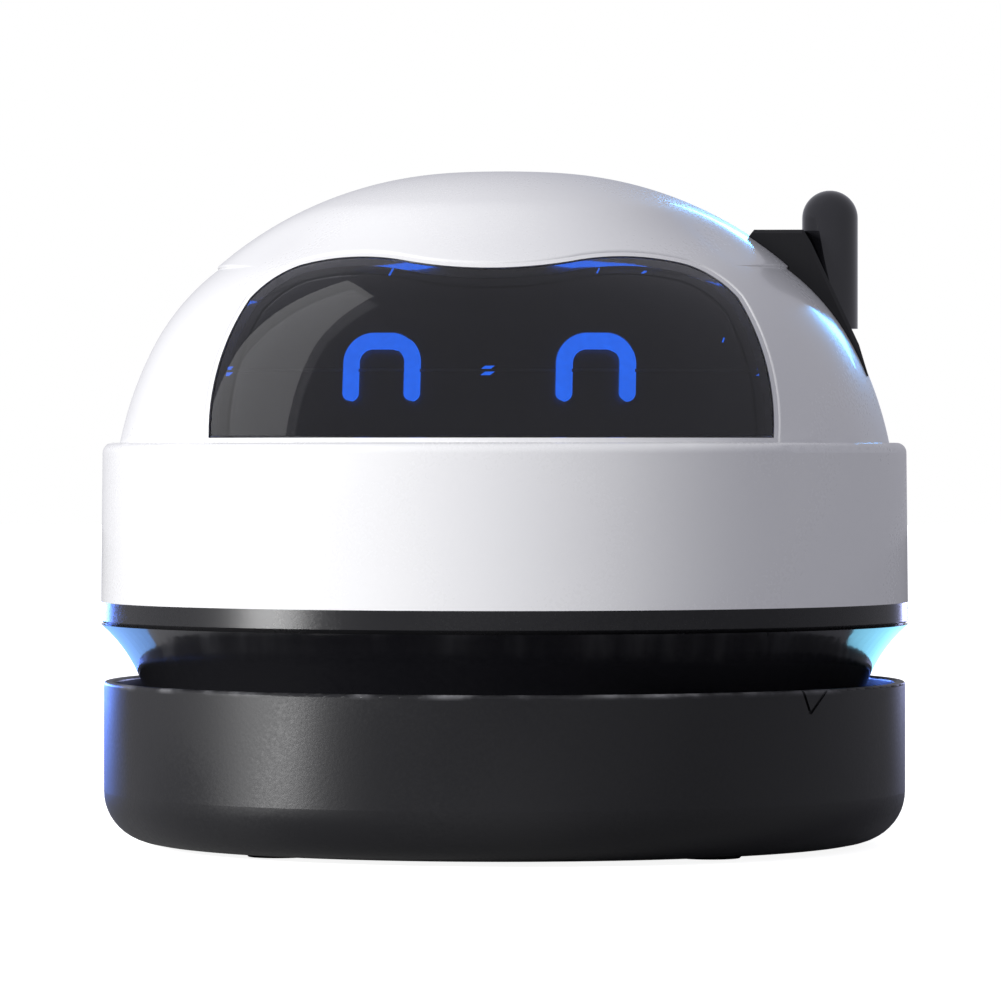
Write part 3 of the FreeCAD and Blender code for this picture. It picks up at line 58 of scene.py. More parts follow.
# Mesh building, in millimetres where a number is a length.
WELD = 0.0001  # grid on which two points are one vertex
FINE = 0.002  # step over which a surface's slope is measured
TINY = 0.000001  # smallest length that counts
SKIN_GAP = 0.45  # least gap from a border to a skin's inner points, as a share of their spacing
SHARP_TURN = 0.2  # sine of the turn above which two edges meet in a real corner
SMOOTH_TURN = 0.86  # cosine of the turn above which the shading runs on round a corner
EDGE_STEPS = 4  # faces across a rounded edge
HEAD_MIDDLE = (0.0, 0.0, 40.0)  # point that outward normals lead away from
DOME_SETBACK = 2.1  # from the band's side in to the dome's foot

# Socket numbers of the node that mixes two colours.
MIX_SHARE, MIX_FIRST, MIX_SECOND, MIX_RESULT = 0, 6, 7, 2

Colour = tuple[float, float, float]
Place = tuple[float, float, float]
Pair = tuple[float, float]
Socket = bpy.types.NodeSocket
Node = bpy.types.Node
Tree = bpy.types.NodeTree
Materials = dict[str, bpy.types.Material]

WHITE: Colour = (1.0, 1.0, 1.0)
BLACK: Colour = (0.0, 0.0, 0.0)
DUST_COLOUR: Colour = (0.42, 0.41, 0.40)
DUST_ROUGHENS = 0.4  # roughness that a full film of dust adds
COAT_ROUGHNESS = 0.06


class Body(Enum):
    """Moving bodies that the pieces made here ride on."""

    HEAD = "head"


class Effect(Enum):
    """Shader effects that several materials share."""

    GRAIN = "moulded_grain"
    RUB = "rubbed_rim"
    DUST = "settled_dust"
    BRUSH = "drawn_metal"
    FIBRE = "felted_fibre"


def rgba(colour: Colour) -> tuple[float, float, float, float]:
    """Return a colour with full alpha."""
    return (colour[0], colour[1], colour[2], 1.0)


def fill(tree: Tree, node: Node, inputs: dict[Any, Any]) -> None:
    """Set or link inputs of a node.

    Args:
        tree: Node tree that holds the node.
        node: The node.
        inputs: Input names or numbers, each with a value or with a socket to link from.
    """
    for key, value in inputs.items():
        if isinstance(value, Socket):
            tree.links.new(value, node.inputs[key])
        else:
            node.inputs[key].default_value = value


def add_node(tree: Tree, kind: str, inputs: dict[Any, Any] | None = None, **settings: Any) -> Node:
    """Add one node, set its options, and fill or link its inputs.

    Args:
        tree: Node tree that gets the node.
        kind: Blender's node type name.
        inputs: Input names or numbers, each with a value or with a socket to link from.
        **settings: Node options by name.

    Returns:
        The new node.
    """
    node = tree.nodes.new(kind)
    for name, option in settings.items():
        setattr(node, name, option)
    fill(tree, node, inputs or {})
    return node


def maths(tree: Tree, operation: str, *values: Any) -> Socket:
    """Add a maths node.

    Args:
        tree: Node tree that gets the node.
        operation: Name of the maths operation.
        *values: Numbers or sockets for its inputs, in order.

    Returns:
        The result's socket.
    """
    node = add_node(tree, "ShaderNodeMath", dict(enumerate(values)), operation=operation)
    return node.outputs[0]


def ramp(tree: Tree, value: Socket, low: float, high: float, start: float = 0.0,
         end: float = 1.0) -> Socket:
    """Spread a value smoothly from one range to another, held at both ends.

    Args:
        tree: Node tree that gets the node.
        value: Socket of the value.
        low: Value that gives start.
        high: Value that gives end.
        start: Result at low.
        end: Result at high.

    Returns:
        The result's socket.
    """
    inputs = {"Value": value, "From Min": low, "From Max": high, "To Min": start, "To Max": end}
    return add_node(tree, "ShaderNodeMapRange", inputs, interpolation_type="SMOOTHSTEP").outputs["Result"]


def blend_colours(tree: Tree, share: Any, first: Any, second: Any) -> Socket:
    """Mix two colours.

    Args:
        tree: Node tree that gets the node.
        share: Socket or number, 0 for the first colour and 1 for the second.
        first: Socket or RGBA value.
        second: Socket or RGBA value.

    Returns:
        The mixed colour's socket.
    """
    inputs = {MIX_SHARE: share, MIX_FIRST: first, MIX_SECOND: second}
    return add_node(tree, "ShaderNodeMix", inputs, data_type="RGBA").outputs[MIX_RESULT]


def noise(tree: Tree, place: Socket, scale: Any, detail: float) -> Socket:
    """Add a noise texture.

    Args:
        tree: Node tree that gets the texture.
        place: Socket of the coordinates.
        scale: Number or socket, waves per metre.
        detail: Layers of finer noise.

    Returns:
        The socket of its value.
    """
    inputs = {"Vector": place, "Scale": scale, "Detail": detail}
    return add_node(tree, "ShaderNodeTexNoise", inputs).outputs[0]


class EffectLibrary:
    """Node groups of the shared effects, each built once and placed in many materials.

    A scale is in waves per metre, and a range is where its mask rises from 0 to 1.
    """

    SLOW_SCALE = 45.0
    PEBBLE_SHARE = 0.6
    SLOW_SHARE = 0.7
    SPECK_SHARE = 0.3
    TONE_RANGE = (0.35, 0.65)
    PATCH_RANGE = (0.45, 0.7)
    UPWARD_RANGE = (0.35, 0.95)
    SPECK_RANGE = (0.5, 0.8)
    CLOUD_SCALE = 70.0
    CLOUD_RANGE = (0.3, 0.7)
    LINE_RANGE = (0.3, 0.7)
    STRAND_SCALE = 9.0
    STRAND_RANGE = (0.1, 0.5)

    def __init__(self) -> None:
        """Build every group."""
        self.groups = {
            Effect.GRAIN: self._grain(),
            Effect.RUB: self._rub(),
            Effect.DUST: self._dust(),
            Effect.BRUSH: self._brush(),
            Effect.FIBRE: self._fibre(),
        }

    @staticmethod
    def _start(effect: Effect, inputs: dict[str, float], outputs: tuple[str, ...]) -> tuple[Tree, Any, Node]:
        """Open a group with named number sockets.

        Args:
            effect: Effect that the group is for.
            inputs: Names and usual values of its inputs.
            outputs: Names of its outputs.

        Returns:
            The group, its input sockets and its output node.
        """
        group = bpy.data.node_groups.new(effect.value, "ShaderNodeTree")
        for name, usual in inputs.items():
            socket = group.interface.new_socket(name, in_out="INPUT", socket_type="NodeSocketFloat")
            socket.default_value = usual
        for name in outputs:
            group.interface.new_socket(name, in_out="OUTPUT", socket_type="NodeSocketFloat")
        entry = group.nodes.new("NodeGroupInput")
        leave = group.nodes.new("NodeGroupOutput")
        return group, entry.outputs, leave

    @staticmethod
    def _place(group: Tree) -> Socket:
        """Return the coordinates of the part's own frame, in metres."""
        return add_node(group, "ShaderNodeTexCoord").outputs["Object"]

    def _grain(self) -> Tree:
        """Build the moulded grain: fine pebbles over a slow ripple of the mould.

        Returns:
            The group.
        """
        group, given, leave = self._start(Effect.GRAIN, {"Scale": 2500.0, "Ripple": 0.3}, ("Height", "Tone"))
        place = self._place(group)
        pebbles = add_node(group, "ShaderNodeTexVoronoi", {"Vector": place, "Scale": given["Scale"]},
                           feature="SMOOTH_F1")
        speck = noise(group, place, given["Scale"], detail=3.0)
        slow = noise(group, place, self.SLOW_SCALE, detail=1.0)
        fine = maths(group, "MULTIPLY_ADD", pebbles.outputs["Distance"], self.PEBBLE_SHARE, speck)
        ripple = maths(group, "MULTIPLY", slow, given["Ripple"])
        specks = maths(group, "MULTIPLY", speck, self.SPECK_SHARE)
        tone = maths(group, "MULTIPLY_ADD", slow, self.SLOW_SHARE, specks)
        fill(group, leave, {"Height": maths(group, "ADD", fine, ripple),
                            "Tone": ramp(group, tone, *self.TONE_RANGE)})
        return group

    def _rub(self) -> Tree:
        """Build the rubbed rim: a broken band of wear about one height of the part.

        Returns:
            The group.
        """
        group, given, leave = self._start(
            Effect.RUB, {"Rim": 0.02, "Reach": 0.0008, "Patches": 160.0}, ("Mask",))
        place = self._place(group)
        height = add_node(group, "ShaderNodeSeparateXYZ", {0: place}).outputs["Z"]
        off = maths(group, "ABSOLUTE", maths(group, "SUBTRACT", height, given["Rim"]))
        near = maths(group, "SUBTRACT", 1.0, maths(group, "DIVIDE", off, given["Reach"]))
        broken = ramp(group, noise(group, place, given["Patches"], detail=6.0), *self.PATCH_RANGE)
        fill(group, leave, {"Mask": maths(group, "MULTIPLY", maths(group, "MAXIMUM", near, 0.0), broken)})
        return group

    def _dust(self) -> Tree:
        """Build the dust: a thin speckled film on faces that look up.

        Returns:
            The group.
        """
        group, given, leave = self._start(Effect.DUST, {"Amount": 0.3, "Scale": 900.0}, ("Mask",))
        place = self._place(group)
        facing = add_node(group, "ShaderNodeNewGeometry").outputs["Normal"]
        up = add_node(group, "ShaderNodeSeparateXYZ", {0: facing}).outputs["Z"]
        specks = ramp(group, noise(group, place, given["Scale"], detail=8.0), *self.SPECK_RANGE)
        cloud = ramp(group, noise(group, place, self.CLOUD_SCALE, detail=2.0), *self.CLOUD_RANGE)
        spread = maths(group, "MULTIPLY", specks, cloud)
        lying = maths(group, "MULTIPLY", ramp(group, up, *self.UPWARD_RANGE), spread)
        fill(group, leave, {"Mask": maths(group, "MULTIPLY", lying, given["Amount"])})
        return group

    def _brush(self) -> Tree:
        """Build the drawn metal: fine lines round the part's axis.

        Returns:
            The group.
        """
        group, given, leave = self._start(
            Effect.BRUSH, {"Lines": 4000.0, "Stretch": 30.0}, ("Height", "Tone"))
        level = maths(group, "DIVIDE", given["Lines"], given["Stretch"])
        squeeze = add_node(group, "ShaderNodeCombineXYZ", {0: level, 1: level, 2: given["Lines"]})
        scaled = add_node(group, "ShaderNodeVectorMath", {0: self._place(group), 1: squeeze.outputs[0]},
                          operation="MULTIPLY")
        lines = noise(group, scaled.outputs[0], 1.0, detail=4.0)
        fill(group, leave, {"Height": lines, "Tone": ramp(group, lines, *self.LINE_RANGE)})
        return group

    def _fibre(self) -> Tree:
        """Build the felted fibre: tangled strands of two sizes.

        Returns:
            The group.
        """
        group, given, leave = self._start(Effect.FIBRE, {"Scale": 900.0, "Tangle": 2.5}, ("Height", "Tone"))
        coarse = add_node(group, "ShaderNodeTexNoise", {"Vector": self._place(group), "Scale": given["Scale"],
                                                       "Detail": 6.0, "Distortion": given["Tangle"]})
        strands = add_node(group, "ShaderNodeTexVoronoi",
                           {"Vector": coarse.outputs["Color"], "Scale": self.STRAND_SCALE},
                           feature="DISTANCE_TO_EDGE")
        height = maths(group, "MULTIPLY_ADD", strands.outputs["Distance"], -1.0, coarse.outputs[0])
        fill(group, leave, {"Height": height, "Tone": ramp(group, height, *self.STRAND_RANGE)})
        return group

    def use(self, tree: Tree, effect: Effect, **inputs: float) -> Node:
        """Place one effect in a material.

        Args:
            tree: The material's node tree.
            effect: Effect to place.
            **inputs: Values of its inputs, by name.

        Returns:
            The group's node.
        """
        return add_node(tree, "ShaderNodeGroup", dict(inputs), node_tree=self.groups[effect])


EFFECTS = EffectLibrary()


def open_material(name: str) -> tuple[bpy.types.Material, Tree, Node]:
    """Start a material.

    Args:
        name: Name of the finish.

    Returns:
        The material, its node tree and its Principled shader.
    """
    material = bpy.data.materials.new(name)
    material.use_nodes = True
    shader = material.node_tree.nodes["Principled BSDF"]
    return material, material.node_tree, shader


def add_bump(tree: Tree, shader: Node, height: Socket, depth: float) -> None:
    """Feed a shader's normal from a height.

    Args:
        tree: The material's node tree.
        shader: The Principled shader.
        height: Socket of the height, about 0 to 1.
        depth: Depth of the relief in millimetres.
    """
    bump = add_node(tree, "ShaderNodeBump", {"Height": height, "Distance": depth * MM, "Strength": 1.0})
    tree.links.new(bump.outputs[0], shader.inputs["Normal"])


@dataclass(frozen=True)
class MouldedPlastic:
    """Injection-moulded plastic: pebbled grain, slow ripple, rubbed rims and a trace of dust.

    Attributes:
        name: Name of the material.
        colour: Main colour.
        second: Colour that the slow tone drifts to.
        worn: Colour where a rim is rubbed.
        roughness: Usual roughness.
        spread: How far the roughness drifts.
        grain_scale: Pebbles per metre.
        grain_depth: Relief of the grain in millimetres.
        ripple: Share of the slow ripple in the relief.
        coat: Weight of the clear top skin.
        rim: Height of the rubbed rim in metres.
        rub_reach: Reach of the rub about the rim in metres.
        dust: Amount of dust.
        ior: Refractive index.
    """

    name: str
    colour: Colour
    second: Colour
    worn: Colour
    roughness: float
    spread: float = 0.05
    grain_scale: float = 2500.0
    grain_depth: float = 0.004
    ripple: float = 0.4
    coat: float = 0.0
    rim: float = 0.0
    rub_reach: float = 0.0006
    dust: float = 0.1
    ior: float = 1.5

    def build(self) -> bpy.types.Material:
        """Make the material.

        Returns:
            The material.
        """
        material, tree, shader = open_material(self.name)
        grain = EFFECTS.use(tree, Effect.GRAIN, Scale=self.grain_scale, Ripple=self.ripple)
        rub = EFFECTS.use(tree, Effect.RUB, Rim=self.rim, Reach=self.rub_reach)
        dust = EFFECTS.use(tree, Effect.DUST, Amount=self.dust)
        base = blend_colours(tree, grain.outputs["Tone"], rgba(self.colour), rgba(self.second))
        base = blend_colours(tree, rub.outputs["Mask"], base, rgba(self.worn))
        base = blend_colours(tree, dust.outputs["Mask"], base, rgba(DUST_COLOUR))
        rough = ramp(tree, grain.outputs["Tone"], 0.0, 1.0, self.roughness - self.spread,
                     self.roughness + self.spread)
        rough = maths(tree, "MULTIPLY_ADD", dust.outputs["Mask"], DUST_ROUGHENS, rough)
        fill(tree, shader, {"Base Color": base, "Roughness": rough, "IOR": self.ior,
                            "Coat Weight": self.coat, "Coat Roughness": COAT_ROUGHNESS})
        add_bump(tree, shader, grain.outputs["Height"], self.grain_depth)
        return material


@dataclass(frozen=True)
class SmokedGlass:
    """Tinted clear plastic of the face window.

    Attributes:
        name: Name of the material.
        tint: Colour that each surface passes.
        roughness: Roughness of the polish.
        ior: Refractive index.
        grain_scale: Pebbles per metre.
        grain_depth: Relief of the grain in millimetres.
        ripple: Share of the slow ripple in the relief.
        dust: Amount of dust.
        dust_scale: Specks of dust per metre.
        dust_roughens: Roughness that a full film of dust adds.
    """

    name: str
    tint: Colour
    roughness: float = 0.02
    ior: float = 1.49
    grain_scale: float = 1200.0
    grain_depth: float = 0.0008
    ripple: float = 1.2
    dust: float = 0.25
    dust_scale: float = 1500.0
    dust_roughens: float = 0.2

    def build(self) -> bpy.types.Material:
        """Make the material.

        Returns:
            The material.
        """
        material, tree, shader = open_material(self.name)
        grain = EFFECTS.use(tree, Effect.GRAIN, Scale=self.grain_scale, Ripple=self.ripple)
        dust = EFFECTS.use(tree, Effect.DUST, Amount=self.dust, Scale=self.dust_scale)
        rough = maths(tree, "MULTIPLY_ADD", dust.outputs["Mask"], self.dust_roughens, self.roughness)
        fill(tree, shader, {"Base Color": rgba(self.tint), "Transmission Weight": 1.0, "IOR": self.ior,
                            "Roughness": rough})
        add_bump(tree, shader, grain.outputs["Height"], self.grain_depth)
        return material


@dataclass(frozen=True)
class LitPlastic:
    """Diffusing plastic with lamps behind it.

    Attributes:
        name: Name of the material.
        colour: Colour of the plastic.
        glow: Colour of the light.
        strength: Strength of the light.
        unevenness: How much the light varies over the surface.
        roughness: Roughness of the plastic.
        grain_scale: Pebbles per metre.
        grain_depth: Relief of the grain in millimetres.
        ripple: Share of the slow ripple in the relief.
    """

    name: str
    colour: Colour
    glow: Colour
    strength: float
    unevenness: float = 0.25
    roughness: float = 0.35
    grain_scale: float = 1500.0
    grain_depth: float = 0.002
    ripple: float = 0.5

    def build(self) -> bpy.types.Material:
        """Make the material.

        Returns:
            The material.
        """
        material, tree, shader = open_material(self.name)
        grain = EFFECTS.use(tree, Effect.GRAIN, Scale=self.grain_scale, Ripple=self.ripple)
        dim = tuple(channel * (1.0 - self.unevenness) for channel in self.glow)
        glow = blend_colours(tree, grain.outputs["Tone"], rgba(dim), rgba(self.glow))
        fill(tree, shader, {"Emission Color": glow, "Emission Strength": self.strength,
                            "Base Color": rgba(self.colour), "Roughness": self.roughness})
        add_bump(tree, shader, grain.outputs["Height"], self.grain_depth)
        return material


@dataclass(frozen=True)
class DrawnMetal:
    """Plated or drawn metal with fine lines.

    Attributes:
        name: Name of the material.
        colour: Bright colour.
        dull: Colour between the lines.
        roughness: Roughness on the lines.
        lines: Lines per metre.
        dulling: Roughness added between the lines.
        line_depth: Depth of the lines in millimetres.
        dust: Amount of dust.
    """

    name: str
    colour: Colour
    dull: Colour
    roughness: float = 0.25
    lines: float = 5000.0
    dulling: float = 0.1
    line_depth: float = 0.003
    dust: float = 0.15

    def build(self) -> bpy.types.Material:
        """Make the material.

        Returns:
            The material.
        """
        material, tree, shader = open_material(self.name)
        brush = EFFECTS.use(tree, Effect.BRUSH, Lines=self.lines)
        dust = EFFECTS.use(tree, Effect.DUST, Amount=self.dust)
        base = blend_colours(tree, brush.outputs["Tone"], rgba(self.dull), rgba(self.colour))
        rough = ramp(tree, brush.outputs["Tone"], 0.0, 1.0, self.roughness + self.dulling, self.roughness)
        rough = maths(tree, "MULTIPLY_ADD", dust.outputs["Mask"], DUST_ROUGHENS, rough)
        fill(tree, shader, {"Base Color": base, "Roughness": rough, "Metallic": 1.0})
        add_bump(tree, shader, brush.outputs["Height"], self.line_depth)
        return material


@dataclass(frozen=True)
class Felt:
    """Felted filter fleece.

    Attributes:
        name: Name of the material.
        colour: Colour of the raised fibres.
        shade: Colour between them.
        strands: Strands per metre.
        strand_depth: Relief of the strands in millimetres.
        roughness: Roughness of the fibres.
        sheen: Weight of the soft sheen.
    """

    name: str
    colour: Colour
    shade: Colour
    strands: float = 900.0
    strand_depth: float = 0.15
    roughness: float = 0.95
    sheen: float = 0.3

    def build(self) -> bpy.types.Material:
        """Make the material.

        Returns:
            The material.
        """
        material, tree, shader = open_material(self.name)
        fibre = EFFECTS.use(tree, Effect.FIBRE, Scale=self.strands)
        base = blend_colours(tree, fibre.outputs["Tone"], rgba(self.shade), rgba(self.colour))
        fill(tree, shader, {"Base Color": base, "Roughness": self.roughness, "Sheen Weight": self.sheen})
        add_bump(tree, shader, fibre.outputs["Height"], self.strand_depth)
        return material


def finishes() -> Materials:
    """Make the material of every slot of the record.

    Returns:
        Materials by slot name.
    """
    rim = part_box("dust_cup")[1].z
    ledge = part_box("body_band")[1].z
    listed = {
        "white_plastic": MouldedPlastic("white_shell", (0.81, 0.81, 0.815), (0.79, 0.79, 0.80),
                                        (0.88, 0.88, 0.88), 0.27, grain_scale=2200.0, grain_depth=0.0004,
                                        ripple=2.0, coat=0.35, rim=ledge, dust=0.05),
        "smoked_lens": SmokedGlass("smoked_window", (0.30, 0.30, 0.32)),
        "black_gloss": MouldedPlastic("black_gloss", (0.008, 0.008, 0.010), (0.012, 0.012, 0.014),
                                      (0.05, 0.05, 0.05), 0.09, 0.02, 1500.0, 0.0006, 1.0, coat=0.6,
                                      dust=0.12),
        "dark_trim": MouldedPlastic("satin_trim", (0.008, 0.008, 0.009), (0.012, 0.012, 0.013),
                                    (0.20, 0.20, 0.21), 0.24, 0.04, 2600.0, 0.0015, dust=0.1, ior=1.42),
        "cup_black": MouldedPlastic("satin_cup", (0.008, 0.008, 0.009), (0.012, 0.012, 0.013),
                                    (0.16, 0.16, 0.17), 0.36, 0.05, 2600.0, 0.006, rim=rim, dust=0.15,
                                    ior=1.4),
        "face_black": MouldedPlastic("face_black", (0.026, 0.026, 0.028), (0.036, 0.036, 0.038),
                                     (0.04, 0.04, 0.04), 0.42, 0.06, 2600.0, 0.006, dust=0.05),
        "eye_blue": LitPlastic("eye_blue", (0.02, 0.10, 0.5), (0.012, 0.16, 1.0), 3.2),
        "grey_plastic": MouldedPlastic("grey_works", (0.20, 0.21, 0.23), (0.25, 0.26, 0.28),
                                       (0.4, 0.4, 0.4), 0.45, 0.06, 1800.0, 0.01),
        "screw_steel": DrawnMetal("zinc_screw", (0.66, 0.66, 0.67), (0.40, 0.40, 0.42), 0.28),
        "motor_steel": DrawnMetal("motor_steel", (0.70, 0.70, 0.72), (0.48, 0.48, 0.50), 0.22, 7000.0),
        "copper_core": DrawnMetal("copper_winding", (0.80, 0.38, 0.20), (0.42, 0.17, 0.08), 0.3, 2500.0),
        "board_green": MouldedPlastic("solder_mask", (0.010, 0.11, 0.05), (0.016, 0.16, 0.07),
                                      (0.5, 0.45, 0.3), 0.25, 0.05, 1100.0, 0.01, coat=0.4),
        "chip_black": MouldedPlastic("chip_black", (0.014, 0.014, 0.015), (0.022, 0.022, 0.023),
                                     (0.1, 0.1, 0.1), 0.5, 0.08, 3200.0, 0.01),
        "lamp_white": LitPlastic("lamp_white", (0.8, 0.8, 0.8), (0.75, 0.85, 1.0), 1.2),
        "cell_blue": MouldedPlastic("shrink_sleeve", (0.03, 0.10, 0.33), (0.04, 0.13, 0.40),
                                    (0.3, 0.35, 0.5), 0.22, 0.05, 600.0, 0.02, 2.0, coat=0.3),
        "socket_steel": DrawnMetal("socket_steel", (0.80, 0.80, 0.82), (0.6, 0.6, 0.62), 0.18, 6000.0),
        "filter_grey": MouldedPlastic("filter_grey", (0.10, 0.105, 0.11), (0.13, 0.135, 0.14),
                                      (0.3, 0.3, 0.3), 0.5, 0.06, 1800.0, 0.01),
        "mesh_grey": MouldedPlastic("mesh_grey", (0.26, 0.27, 0.29), (0.31, 0.32, 0.34),
                                    (0.4, 0.4, 0.4), 0.5, 0.06, 2000.0, 0.008),
        "fleece_white": Felt("filter_fleece", (0.84, 0.83, 0.80), (0.55, 0.54, 0.51)),
        "bristle_black": MouldedPlastic("bristle_black", (0.016, 0.016, 0.017), (0.03, 0.03, 0.03),
                                        (0.1, 0.1, 0.1), 0.55, 0.1, 4000.0, 0.01),
        "foot_rubber": MouldedPlastic("foot_rubber", (0.025, 0.025, 0.026), (0.04, 0.04, 0.04),
                                      (0.1, 0.1, 0.1), 0.8, 0.1, 3000.0, 0.02, dust=0.2),
        "switch_black": MouldedPlastic("switch_black", (0.016, 0.016, 0.018), (0.024, 0.024, 0.026),
                                       (0.1, 0.1, 0.1), 0.45, 0.05, 2400.0, 0.008),
        "plunger_white": MouldedPlastic("plunger_white", (0.72, 0.72, 0.69), (0.68, 0.68, 0.65),
                                        (0.8, 0.8, 0.8), 0.4, 0.05, 2400.0, 0.006),
        "lead_red": MouldedPlastic("lead_red", (0.42, 0.015, 0.012), (0.5, 0.02, 0.018),
                                   (0.5, 0.2, 0.2), 0.35, 0.05, 1800.0, 0.01, coat=0.2),
    }
    return {slot: finish.build() for slot, finish in listed.items()}


def dress_nodes(materials: Materials) -> None:
    """Give every carried node the material of its slot.

    Args:
        materials: Materials by slot name.
    """
    for row in frame["record"]["subparts"]:
        node = frame["nodes"][row["node"]]
        node.data.materials.clear()
        node.data.materials.append(materials[row["material_slot"]])
        log.info("dressed %s in %s", row["node"], row["material_slot"])


@dataclass(frozen=True)
class Border:
    """Closed border of a patch, in the patch's own two coordinates, with the material on its left.

    Attributes:
        points: Corners of the border.
        rounding: Rounding of the edge that starts at each corner.
    """

    points: np.ndarray
    rounding: np.ndarray

    def corner_ways(self) -> tuple[np.ndarray, np.ndarray, np.ndarray]:
        """Work out the directions into the material at each corner.

        Returns:
            Direction for the edge that starts there, for the edge that ends there, and half way between.
        """
        along = np.roll(self.points, -1, axis=0) - self.points
        along /= np.linalg.norm(along, axis=1)[:, None]
        starting = np.stack([-along[:, 1], along[:, 0]], axis=1)
        ending = np.roll(starting, 1, axis=0)
        middle = starting + ending
        middle /= np.linalg.norm(middle, axis=1)[:, None]
        return starting, ending, middle

    def inset(self, distance: np.ndarray) -> np.ndarray:
        """Move every edge into the material.

        Args:
            distance: Distance for the edge that starts at each corner.

        Returns:
            The moved corners.
        """
        normals, before, middle = self.corner_ways()
        last = np.roll(distance, 1)
        cross = before[:, 0] * normals[:, 1] - before[:, 1] * normals[:, 0]
        sharp = np.abs(cross) > SHARP_TURN
        safe = np.where(sharp, cross, 1.0)
        corner = np.stack([(last * normals[:, 1] - distance * before[:, 1]) / safe,
                           (before[:, 0] * distance - normals[:, 0] * last) / safe], axis=1)
        even = middle * ((distance + last) / 2.0)[:, None]
        return self.points + np.where(sharp[:, None], corner, even)

    def ring(self, tilt: float) -> tuple[np.ndarray, np.ndarray]:
        """Work out one row of the rounded edge.

        Args:
            tilt: Angle round the edge, 0 on the face and a quarter turn on the wall.

        Returns:
            Points of the row, and their depths under the face.
        """
        deepest = np.maximum(self.rounding, np.roll(self.rounding, 1))
        return self.inset(self.rounding * (1.0 - math.sin(tilt))), deepest * (1.0 - math.cos(tilt))


